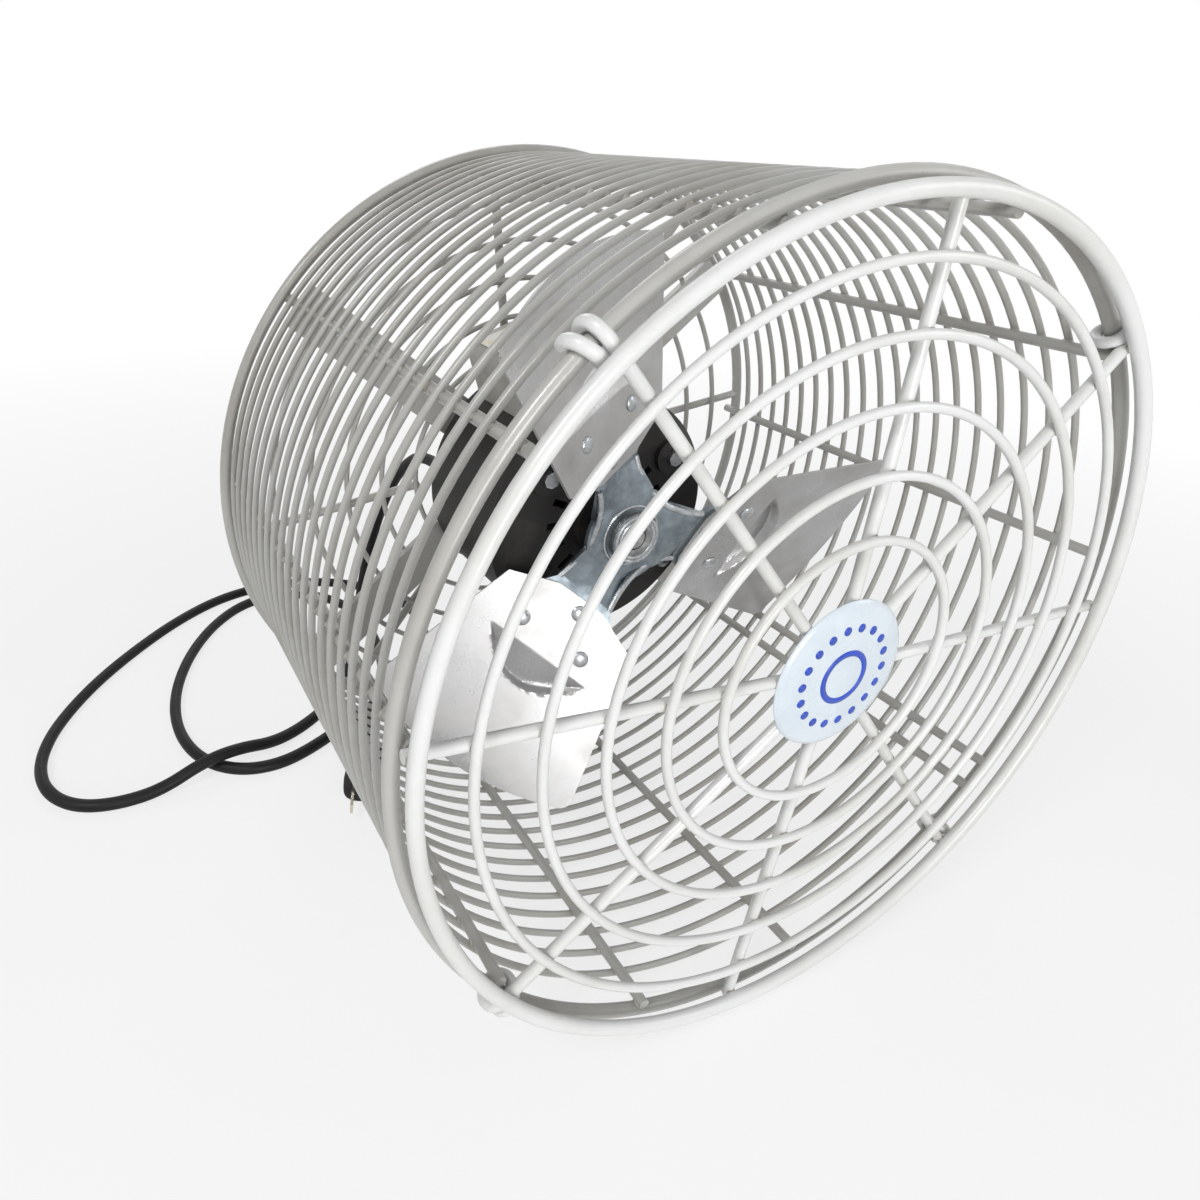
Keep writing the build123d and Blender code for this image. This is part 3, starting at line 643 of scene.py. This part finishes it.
def make_grille():
    """Front guard's concentric wires, its four plain spokes and their welds."""
    wire_front = guard_depth(0) - SPOKE_WIRE / 2 - GUARD_WIRE / 2 + WELD_SINK
    bow = GUARD_BOW / GUARD_RIM
    radii = [GUARD_FIRST + i * GUARD_STEP for i in range(GUARD_RINGS)]
    spokes = [
        [spot(SPOKE_START, a, guard_depth(SPOKE_START)), spot(GUARD_RIM + SPOKE_WIRE / 2, a, SPOKE_DEPTH)]
        for a in PLAIN_SPOKES
    ]
    crossings = [
        spot(r, a, guard_depth(r) - SPOKE_WIRE / 2 + GUARD_BEAD_IN) for r in radii for a in SPOKE_ANGLES
    ]
    grille = joined("front_guard_wires", [
        ring_stack("guard_rings", GUARD_WIRE, GUARD_PAINT, radius=GUARD_FIRST,
                   depth=wire_front + bow * GUARD_FIRST, count=GUARD_RINGS, radius_step=GUARD_STEP,
                   depth_step=bow * GUARD_STEP),
        wires("guard_spokes", spokes, SPOKE_WIRE, GUARD_PAINT),
        weld_beads("guard_welds", crossings, GUARD_BEAD),
    ])
    settle(grille, "cage")
    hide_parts("front_guard_grille")


def hook_path(angle):
    """Spoke that runs out over the guard rim and coils round the cage's front rim, more than one turn."""
    path = [spot(SPOKE_START, angle, guard_depth(SPOKE_START))]
    start_depth = FRONT_RIM - HOOK_RADIUS
    rise = (start_depth - guard_depth(SPOKE_START)) / (RIM_RADIUS - SPOKE_START)
    lean = atan2(rise, 1)
    centre_radius = RIM_RADIUS - HOOK_RADIUS * sin(lean)
    centre_depth = start_depth + HOOK_RADIUS * cos(lean)
    for i in range(HOOK_STEPS + 1):
        swept = HOOK_SWEEP * i / HOOK_STEPS
        turn = lean + radians(swept)
        lead = HOOK_LEAD * max(0.0, swept - HOOK_LEAD_START) / (360 - HOOK_LEAD_START)
        path.append(spot(centre_radius + HOOK_RADIUS * sin(turn), angle + degrees(lead / RIM_RADIUS),
                         centre_depth - HOOK_RADIUS * cos(turn)))
    return path


def make_hooks():
    """The four spokes that hold the guard on the cage."""
    paths = [hook_path(a) for a in HOOKED_SPOKES]
    hooks = wires("front_guard_hook_wires", paths, SPOKE_WIRE, GUARD_PAINT)
    settle(hooks, "cage")
    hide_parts("front_guard_hooks")


def make_rear_guard():
    """Rear rings in front of their spokes, with a weld at every crossing."""
    wire_depth = REAR_RIM - REAR_SPOKE_WIRE / 2 - REAR_WIRE / 2 + WELD_SINK
    bead_depth = REAR_RIM - REAR_BEAD_FORWARD
    radii = [REAR_FIRST + i * REAR_STEP for i in range(REAR_RINGS)]
    ends = (REAR_FIRST - REAR_WIRE, CAGE_INNER + WELD_SINK)
    spokes = [[spot(r, a, REAR_RIM) for r in ends] for a in REAR_SPOKE_ANGLES]
    crossings = [spot(r, a, bead_depth) for r in radii for a in REAR_SPOKE_ANGLES]
    rear = joined("rear_guard_wires", [
        ring_stack("rear_rings", REAR_WIRE, SHADED_CAGE_PAINT, radius=REAR_FIRST, depth=wire_depth,
                   count=REAR_RINGS, radius_step=REAR_STEP),
        wires("rear_spokes", spokes, REAR_SPOKE_WIRE, SHADED_CAGE_PAINT),
        weld_beads("rear_welds", crossings, REAR_BEAD),
    ])
    settle(rear, "cage")
    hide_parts("rear_guard")


# Badge

def badge_depth(radius):
    """Depth of the badge's domed face at a radius."""
    return depth_of(BADGE_FRONT_Y) + BADGE_DOME * (radius / BADGE_RADIUS) ** 2


def make_badge():
    """Domed disc with a rolled edge, seated on the spokes' inner ends."""
    front = depth_of(BADGE_FRONT_Y)
    back = guard_depth(SPOKE_START) - SPOKE_WIRE / 2 + WELD_SINK
    back_in, back_rise = BADGE_BACK_EDGE
    face = [BADGE_RADIUS * BADGE_DOME_SHARE * i / BADGE_DOME_STEPS for i in range(1, BADGE_DOME_STEPS + 1)]
    outline = [(0, front)] + [(r, badge_depth(r)) for r in face]
    outline += [(BADGE_RADIUS - inwards, front + down) for inwards, down in BADGE_EDGE]
    outline += [(BADGE_RADIUS, back - back_rise), (BADGE_RADIUS - back_in, back), (0, back)]
    badge = sharp_edges(facing_out(turned("guard_badge_disc", outline, BADGE_ENAMEL)), BADGE_CREASE)
    settle(badge, "cage")
    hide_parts("guard_badge")


def printed_spot(centre_radius, centre_angle, radius, hole=0.0, sides=48):
    """Thin printed disc or ring lying on the badge's face."""
    points, faces = [], []
    for rise in (PRINT_RAISED, PRINT_SUNK):
        for r in (hole, radius):
            for i in range(sides):
                a = 2 * pi * i / sides
                x = centre_radius * cos(radians(centre_angle)) + r * cos(a)
                z = centre_radius * sin(radians(centre_angle)) + r * sin(a)
                away = sqrt(x * x + z * z)
                points.append(spot(0, 0, badge_depth(away) - rise) + Vector((x, 0, z)) * MM)
    for i in range(sides):
        j = (i + 1) % sides
        faces.append((i, j, sides + j, sides + i))
        faces.append((3 * sides + i, 3 * sides + j, 2 * sides + j, 2 * sides + i))
        faces.append((sides + i, sides + j, 3 * sides + j, 3 * sides + i))
        if hole:
            faces.append((2 * sides + i, 2 * sides + j, j, i))
    return facing_out(mesh_object("print", points, faces, BADGE_BLUE))


def make_printing():
    """Plain ring with a circle of dots round it."""
    hole, radius = PRINT_RING
    prints = [printed_spot(0, 0, radius, hole=hole)]
    prints += [printed_spot(DOT_CIRCLE, a, DOT_RADIUS, sides=24) for a in DOT_ANGLES]
    settle(joined("badge_printing", prints), "cage")


# Blades

def fan_point(angle, out, side, height):
    """Point of a blade in metres, from millimetres outwards, across it, and in front of its mid plane."""
    a, t = radians(angle), radians(BLADE_PITCH)
    outward = Vector((cos(a), 0, sin(a)))
    across = Vector((-sin(a) * cos(t), -sin(t), cos(a) * cos(t)))
    front = outward.cross(across)
    return spot(0, 0, HUB_DEPTH) + (outward * out + across * side + front * height) * MM


def camber(side):
    """Height of the rolled sheet at a distance from the blade's middle line."""
    return side**2 / (2 * CAMBER_RADIUS)


def moon(out, side):
    """Height of the pressed half moon: it slopes in, and springs back at its curved edge."""
    half = MOON_WIDTH / 2
    if abs(side) >= half:
        return 0.0
    bulge = MOON_BULGE * (1 - (side / half) ** 2)
    if bulge < MOON_LEAST_BULGE:
        return 0.0
    share = (out - MOON_INNER) / bulge
    lip = min(LIP_SHARE, LIP_WIDTH / bulge)
    if share <= 0 or share >= 1 + lip:
        return 0.0
    depth = MOON_DEPTH * min(1.0, bulge / MOON_FULL_BULGE)
    if share <= 1 - lip:
        return -depth * share
    return -depth * (1 - lip) + depth * (share - 1 + lip) / (2 * lip)


def row_share(row):
    """Share of a row across the blade, from -1 to 1. The rows stand closer together towards the edges."""
    if row in (0, BLADE_ROWS):
        return -1.0 if row == 0 else 1.0
    return sin(pi / 2 * (2 * row / BLADE_ROWS - 1) * ROW_SPREAD)


def blade_row(across):
    """Points from a blade's root to its tip, at a share across it, with the tip's corners rounded off."""
    edge = asin(BLADE_HALF_TIP / BLADE_TIP)
    gap = (1 - abs(across)) * BLADE_HALF_TIP
    cut_back = 0.0
    if gap < BLADE_CORNER:
        cut_back = BLADE_CORNER - sqrt(max(0.0, BLADE_CORNER**2 - (BLADE_CORNER - gap) ** 2))
    reach = BLADE_TIP - cut_back
    tip = Vector((reach * cos(edge * across), reach * sin(edge * across)))
    root = Vector((BLADE_ROOT[0], BLADE_ROOT[1] * across))
    shoulder = Vector((BLADE_SHOULDER[0], BLADE_SHOULDER[1] * across))
    line = [root.lerp(shoulder, k / ROOT_STEPS) for k in range(ROOT_STEPS)]
    return line + [shoulder.lerp(tip, k / TIP_STEPS) for k in range(TIP_STEPS + 1)]


def sheet_faces(rows, width):
    """Faces of two layers of points: the front, the back and the edge all round."""
    layer = rows * width
    faces = []
    for j in range(rows - 1):
        for k in range(width - 1):
            a, b, c, d = j * width + k, j * width + k + 1, (j + 1) * width + k + 1, (j + 1) * width + k
            faces += [(a, b, c, d), (d + layer, c + layer, b + layer, a + layer)]
    border = list(range(width)) + [j * width + width - 1 for j in range(1, rows)]
    border += [(rows - 1) * width + k for k in range(width - 2, -1, -1)]
    border += [j * width for j in range(rows - 2, 0, -1)]
    for a, b in zip(border, border[1:] + border[:1]):
        faces.append((b, a, a + layer, b + layer))
    return faces


def blade_sheet(name, angle):
    """Rolled sheet of one blade, with its pressed half moon."""
    rows = [blade_row(row_share(row)) for row in range(BLADE_ROWS + 1)]
    points = []
    for height in (SPIDER_SHEET / 2 + BLADE_SHEET, SPIDER_SHEET / 2):
        for row in rows:
            points += [fan_point(angle, p.x, p.y, camber(p.y) + height + moon(p.x, p.y)) for p in row]
    sheet = mesh_object(name, points, sheet_faces(len(rows), len(rows[0])), DIMMED_ALUMINIUM)
    sheet.data.validate()
    return sheet


def make_blades():
    """The three blades."""
    for number, angle in enumerate(BLADE_ANGLES, 1):
        blade = sharp_edges(facing_out(blade_sheet(f"blade_{number}_sheet", angle)), BLADE_CREASE)
        settle(blade, "rotor")
        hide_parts(f"blade_{number}")


def rivet_head(centre, front):
    """Domed head that stands on a blade's face."""
    side = front.orthogonal().normalized()
    up = front.cross(side)
    rings, sides = 6, 20
    points, faces = [centre + front * RIVET_RISE * MM], []
    for r in range(1, rings + 1):
        turn = pi / 2 * r / rings
        for i in range(sides):
            a = 2 * pi * i / sides
            outwards = (side * cos(a) + up * sin(a)) * RIVET_HEAD * sin(turn)
            points.append(centre + (outwards + front * RIVET_RISE * cos(turn)) * MM)
    for i in range(sides):
        j = (i + 1) % sides
        faces.append((0, 1 + i, 1 + j))
        for r in range(rings - 1):
            a, b = 1 + r * sides, 1 + (r + 1) * sides
            faces.append((a + i, b + i, b + j, a + j))
    faces.append(tuple(1 + (rings - 1) * sides + i for i in reversed(range(sides))))
    return mesh_object("head", points, faces, BRIGHT_ZINC)


def make_rivets():
    """Domed heads on both sides of each blade."""
    heads = []
    for angle in BLADE_ANGLES:
        front = (fan_point(angle, 0, 0, 1) - fan_point(angle, 0, 0, 0)).normalized()
        for out, side in RIVET_PLACES:
            rise = camber(side)
            face = SPIDER_SHEET / 2 + BLADE_SHEET + rise
            heads.append(rivet_head(fan_point(angle, out, side, face), front))
            heads.append(rivet_head(fan_point(angle, out, side, rise - SPIDER_SHEET / 2), -front))
    rivets = facing_out(joined("blade_rivet_heads", heads))
    settle(rivets, "rotor")
    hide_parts("blade_rivets")


# Blade spider and hub

def notch_edge(angle):
    """Bead from one arm's neck round the notch to the next arm's neck."""
    start = fan_point(angle, NECK_OUT, NECK_SIDE, EDGE_STAND)
    end = fan_point(angle + BLADE_SPACING, NECK_OUT, -NECK_SIDE, EDGE_STAND)
    pull = spot(NOTCH_PULL, angle + BLADE_SPACING / 2, HUB_DEPTH - EDGE_STAND)
    shares = [i / EDGE_STEPS for i in range(EDGE_STEPS + 1)]
    return [start * (1 - t) ** 2 + pull * 2 * t * (1 - t) + end * t * t for t in shares]


def make_spider_edges():
    """Rolled edges in the three notches of the blade spider."""
    paths = [notch_edge(a) for a in BLADE_ANGLES]
    edges = wires("spider_rolled_edges", paths, EDGE_WIRE, BRIGHT_ZINC, roundness=3)
    settle(edges, "rotor")


def make_hub_collar():
    """Rings on the hub's face and where it seats on the spider."""
    seat_depth = HUB_DEPTH - SPIDER_SHEET / 2
    collar = joined("hub_collar", [
        ring_stack("hub_ring", COLLAR_WIRE, BRIGHT_ZINC, radius=COLLAR_RADIUS,
                   depth=depth_of(HUB_FRONT_Y) + COLLAR_SINK, count=COLLAR_RINGS, radius_step=COLLAR_STEP,
                   depth_step=COLLAR_RISE),
        ring_stack("hub_seat", SEAT_WIRE, BRIGHT_ZINC, radius=SEAT_RADIUS, depth=seat_depth),
    ])
    settle(collar, "rotor")


# Label

def make_label():
    """Bare label on the capacitor box."""
    a = radians(BOX_ANGLE)
    out, side = Vector((cos(a), 0, sin(a))), Vector((-sin(a), 0, cos(a)))
    middle = spot(0, 0, depth_of(BOX_MIDDLE_Y))
    width, length = LABEL_SIZE
    points = []
    for height in (0.0, LABEL_THICKNESS):
        for x, y in ((-1, -1), (1, -1), (1, 1), (-1, 1)):
            points.append(middle + out * (LABEL_RADIUS + height) * MM + side * x * width / 2 * MM
                          + Vector((0, y * length / 2 * MM, 0)))
    faces = [(0, 1, 2, 3), (7, 6, 5, 4), (0, 4, 5, 1), (1, 5, 6, 2), (2, 6, 7, 3), (3, 7, 4, 0)]
    label = facing_out(mesh_object("capacitor_label", points, faces, LABEL, smooth=False))
    settle(label, "cage")


# Cord: its route in millimetres, as (x, depth, height) points
CORD_DIAMETER = 7.5
LYING = CORD_DIAMETER / 2
CROSSING = 13.0
PLUG_HEIGHT = 11.0
RELIEF_MOUTH = (45.0, 189.0, 272.0)
RELIEF_Z = spot(*RELIEF_MOUTH).z / MM
CORD_ROUTE = (
    (-44.4, 272.0, RELIEF_Z), (-44.4, 297.0, RELIEF_Z), (-47.0, 322.0, 166.0), (-52.0, 341.0, 140.0),
    (-59.0, 351.0, 104.0), (-67.0, 351.0, 68.0), (-75.0, 342.0, 36.0), (-84.0, 326.0, 13.0),
    (-100.0, 304.0, LYING), (-127.0, 279.0, LYING), (-158.0, 263.0, LYING + 0.5), (-186.0, 255.0, CROSSING),
    (-208.0, 250.0, CROSSING), (-234.0, 245.0, LYING + 0.5), (-258.0, 243.0, LYING), (-279.0, 248.0, LYING),
    (-293.0, 261.0, LYING), (-300.0, 280.0, LYING), (-299.0, 304.0, LYING), (-288.0, 334.0, LYING),
    (-263.0, 372.0, LYING), (-230.0, 408.0, LYING), (-193.0, 441.0, LYING), (-154.0, 465.0, LYING),
    (-112.0, 474.0, LYING), (-70.0, 467.0, LYING), (-34.0, 446.0, LYING), (-12.0, 414.0, LYING),
    (-7.0, 376.0, LYING), (-18.0, 338.0, LYING), (-44.0, 306.0, LYING), (-80.0, 281.0, LYING),
    (-115.0, 262.0, LYING), (-140.0, 249.0, LYING), (-162.0, 242.0, LYING), (-183.0, 244.0, LYING),
    (-200.0, 255.0, LYING), (-211.0, 273.0, LYING), (-216.0, 298.0, LYING), (-214.0, 328.0, LYING),
    (-205.0, 360.0, LYING), (-189.0, 394.0, LYING), (-166.0, 426.0, LYING), (-138.0, 449.0, LYING),
    (-107.0, 455.0, LYING), (-78.0, 444.0, LYING), (-58.0, 418.0, LYING), (-52.0, 384.0, LYING),
    (-55.0, 350.0, LYING), (-62.0, 322.0, LYING + 1.0), (-70.0, 300.0, CROSSING), (-82.0, 278.0, CROSSING),
    (-94.0, 259.0, PLUG_HEIGHT), (-103.0, 239.0, PLUG_HEIGHT),
)
CORD_POINTS = [Vector((x * MM, GUARD_Y + depth * MM, z * MM)) for x, depth, z in CORD_ROUTE]


def make_cord():
    """Round cord, left as a live curve."""
    curve = round_curve("power_cord_flex", CORD_DIAMETER, 5, RUBBER)
    curve.resolution_u = 10
    spline = add_path(curve, "NURBS", CORD_POINTS)
    spline.order_u = 3
    spline.use_endpoint_u = True
    return settle(in_scene("power_cord_flex", curve), "cage")


# Plug: half its width and half its height at distances from the cord's end, in millimetres
PLUG_OUTLINE = (
    (0.0, 4.6, 4.6), (1.0, 5.2, 5.2), (3.0, 5.2, 5.2), (3.6, 4.6, 4.6), (5.0, 4.8, 4.8), (5.6, 5.7, 5.7),
    (7.6, 5.9, 5.9), (8.2, 5.1, 5.1), (9.6, 5.3, 5.3), (10.2, 6.3, 6.3), (12.2, 6.6, 6.6), (12.8, 5.9, 5.9),
    (14.4, 6.6, 6.3), (16.0, 8.6, 8.0), (18.5, 11.2, 9.8), (22.0, 12.2, 10.4), (28.0, 11.6, 9.9),
    (34.0, 11.8, 10.0), (40.0, 12.6, 10.7), (46.0, 12.9, 10.9), (49.0, 12.8, 10.8), (49.8, 12.2, 10.2),
    (50.0, 11.0, 9.0),
)
PLUG_NECK = 17
PLUG_SQUARE = 0.62
PLUG_CREASE = 50


def bulged(value, power):
    """A sine or cosine raised to a power below 1, which squares a round section."""
    return abs(value) ** power * (1 if value >= 0 else -1)


def plug_section(along, half_width, half_height, sides):
    """Points round the plug: round at its neck, squarer along its grip."""
    way = (CORD_POINTS[-1] - CORD_POINTS[-2]).normalized()
    across = Vector((0, 0, 1)).cross(way)
    power = PLUG_SQUARE if along > PLUG_NECK else 1.0
    points = []
    for i in range(sides):
        a = 2 * pi * i / sides
        x, z = half_width * bulged(cos(a), power), half_height * bulged(sin(a), power)
        points.append(CORD_POINTS[-1] + (way * along + across * x + Vector((0, 0, z))) * MM)
    return points


def make_plug():
    """Moulded plug with a ribbed neck and a waisted grip."""
    sides = 32
    points, faces = [], []
    for section in PLUG_OUTLINE:
        points += plug_section(*section, sides)
    for row in range(len(PLUG_OUTLINE) - 1):
        here, ahead = row * sides, (row + 1) * sides
        for i in range(sides):
            j = (i + 1) % sides
            faces.append((here + i, ahead + i, ahead + j, here + j))
    last = (len(PLUG_OUTLINE) - 1) * sides
    faces.append(tuple(range(sides)))
    faces.append(tuple(last + i for i in reversed(range(sides))))
    plug = sharp_edges(facing_out(mesh_object("plug_grip", points, faces, VINYL)), PLUG_CREASE)
    return settle(plug, "cage")


# Floor, light and camera
FLOOR_REACH = 9
FLOOR_GREY = 0.86
FLOOR_ROUGHNESS = 0.9
FLOOR_NEAR = 0.45
FLOOR_FAR = 1.3
FLOOR_GLOW_NEAR = 0.74
FLOOR_GLOW_FAR = 1.0
SKY_COLOUR = (0.95, 0.97, 1.0, 1)
SKY_STRENGTH = 0.28
WHITE = (1, 1, 1, 1)
CAGE_MIDDLE = (0, 0, AXIS_Z)
LAMPS = (
    ("key", (-1.2, -0.6, 1.4), CAGE_MIDDLE, 0.45, 12),
    ("low front", (-0.16, -1.15, 0.30), (0, 0, 0.14), 0.45, 6),
    ("side", (1.5, -0.9, 0.9), CAGE_MIDDLE, 0.7, 3),
    ("back", (0.3, 1.5, 1.5), CAGE_MIDDLE, 0.8, 5),
)
CAMERA_AZIMUTH = -25.88
CAMERA_ELEVATION = 22.43
CAMERA_ROLL = 2.73
CAMERA_LENS = 25.71
CAMERA_SENSOR = 36.0
CAMERA_SHIFT = (0.1333, -0.0875)
CAMERA_FROM_GUARD = (-0.2686, -0.1905, 0.1861)


def background_rays(nodes, links):
    """One for rays that show the background: from the camera, off metal and through glass."""
    seen = nodes.new("ShaderNodeLightPath")
    first, second = nodes.new("ShaderNodeMath"), nodes.new("ShaderNodeMath")
    first.operation = second.operation = "MAXIMUM"
    links.new(seen.outputs["Is Camera Ray"], first.inputs[0])
    links.new(seen.outputs["Is Glossy Ray"], first.inputs[1])
    links.new(first.outputs["Value"], second.inputs[0])
    links.new(seen.outputs["Is Transmission Ray"], second.inputs[1])
    return second.outputs["Value"]


def floor_glow(nodes, links):
    """Share of white in the floor as it is seen: all of it far away, and less near the fan."""
    place = nodes.new("ShaderNodeTexCoord")
    reach = nodes.new("ShaderNodeVectorMath")
    reach.operation = "LENGTH"
    links.new(place.outputs["Object"], reach.inputs[0])
    fade = nodes.new("ShaderNodeMapRange")
    fade.inputs["From Min"].default_value = FLOOR_NEAR
    fade.inputs["From Max"].default_value = FLOOR_FAR
    fade.inputs["To Min"].default_value = FLOOR_GLOW_NEAR
    fade.inputs["To Max"].default_value = FLOOR_GLOW_FAR
    links.new(reach.outputs["Value"], fade.inputs["Value"])
    share = nodes.new("ShaderNodeMath")
    share.operation = "MULTIPLY"
    links.new(background_rays(nodes, links), share.inputs[0])
    links.new(fade.outputs["Result"], share.inputs[1])
    return share.outputs["Value"]


def stage_floor():
    """Pale floor that keeps the fan's shadow and fades to white."""
    reach = FLOOR_REACH
    corners = [(-reach, -reach, 0), (reach, -reach, 0), (reach, reach, 0), (-reach, reach, 0)]
    floor = mesh_object("floor", corners, [(0, 1, 2, 3)], smooth=False)
    material = bpy.data.materials.new("pale_floor")
    material.use_nodes = True
    nodes, links = material.node_tree.nodes, material.node_tree.links
    shader = nodes["Principled BSDF"]
    shader.inputs["Base Color"].default_value = (FLOOR_GREY, FLOOR_GREY, FLOOR_GREY, 1)
    shader.inputs["Roughness"].default_value = FLOOR_ROUGHNESS
    glow = nodes.new("ShaderNodeEmission")
    glow.inputs["Color"].default_value = WHITE
    mix = nodes.new("ShaderNodeMixShader")
    links.new(floor_glow(nodes, links), mix.inputs["Fac"])
    links.new(shader.outputs["BSDF"], mix.inputs[1])
    links.new(glow.outputs["Emission"], mix.inputs[2])
    links.new(mix.outputs["Shader"], nodes["Material Output"].inputs["Surface"])
    floor.data.materials.append(material)


def sky():
    """Soft even light, with plain white where the background shows."""
    world = bpy.data.worlds.new("studio")
    bpy.context.scene.world = world
    world.use_nodes = True
    nodes, links = world.node_tree.nodes, world.node_tree.links
    soft = nodes["Background"]
    soft.inputs["Color"].default_value = SKY_COLOUR
    soft.inputs["Strength"].default_value = SKY_STRENGTH
    white = nodes.new("ShaderNodeBackground")
    white.inputs["Color"].default_value = WHITE
    mix = nodes.new("ShaderNodeMixShader")
    links.new(background_rays(nodes, links), mix.inputs["Fac"])
    links.new(soft.outputs["Background"], mix.inputs[1])
    links.new(white.outputs["Background"], mix.inputs[2])
    links.new(mix.outputs["Shader"], nodes["World Output"].inputs["Surface"])


def lamp(name, place, aim, size, power):
    """Square lamp turned towards a place, in metres and watts."""
    light = bpy.data.lights.new(name, "AREA")
    light.size = size
    light.energy = power
    obj = in_scene(name, light)
    obj.location = place
    obj.rotation_mode = "QUATERNION"
    obj.rotation_quaternion = (Vector(aim) - Vector(place)).to_track_quat("-Z", "Y")


def set_camera():
    """Camera close to the front guard, at its upper left."""
    azimuth, elevation, roll = radians(CAMERA_AZIMUTH), radians(CAMERA_ELEVATION), radians(CAMERA_ROLL)
    data = bpy.data.cameras.new("camera")
    data.sensor_width = CAMERA_SENSOR
    data.lens = CAMERA_LENS
    data.shift_x, data.shift_y = CAMERA_SHIFT
    away = Vector((-sin(azimuth) * cos(elevation), cos(azimuth) * cos(elevation), -sin(elevation)))
    level = Vector((cos(azimuth), sin(azimuth), 0))
    upright = level.cross(away)
    right = level * cos(roll) + upright * sin(roll)
    up = right.cross(away)
    camera = in_scene("camera", data)
    camera.location = Vector((0, GUARD_Y, AXIS_Z)) + Vector(CAMERA_FROM_GUARD)
    camera.rotation_mode = "QUATERNION"
    camera.rotation_quaternion = Matrix((right, up, -away)).transposed().to_quaternion()
    bpy.context.scene.camera = camera


# The whole fan
finish_nodes()
make_cage_drum()
make_rims()
make_grille()
make_hooks()
make_rear_guard()
make_badge()
make_printing()
make_blades()
make_rivets()
make_spider_edges()
make_hub_collar()
make_label()
cord = make_cord()
plug = make_plug()
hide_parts("plug_body")
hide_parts("power_cord")

# The view
stage_floor()
sky()
for settings in LAMPS:
    lamp(*settings)
set_camera()
bpy.context.scene.view_settings.view_transform = "Standard"
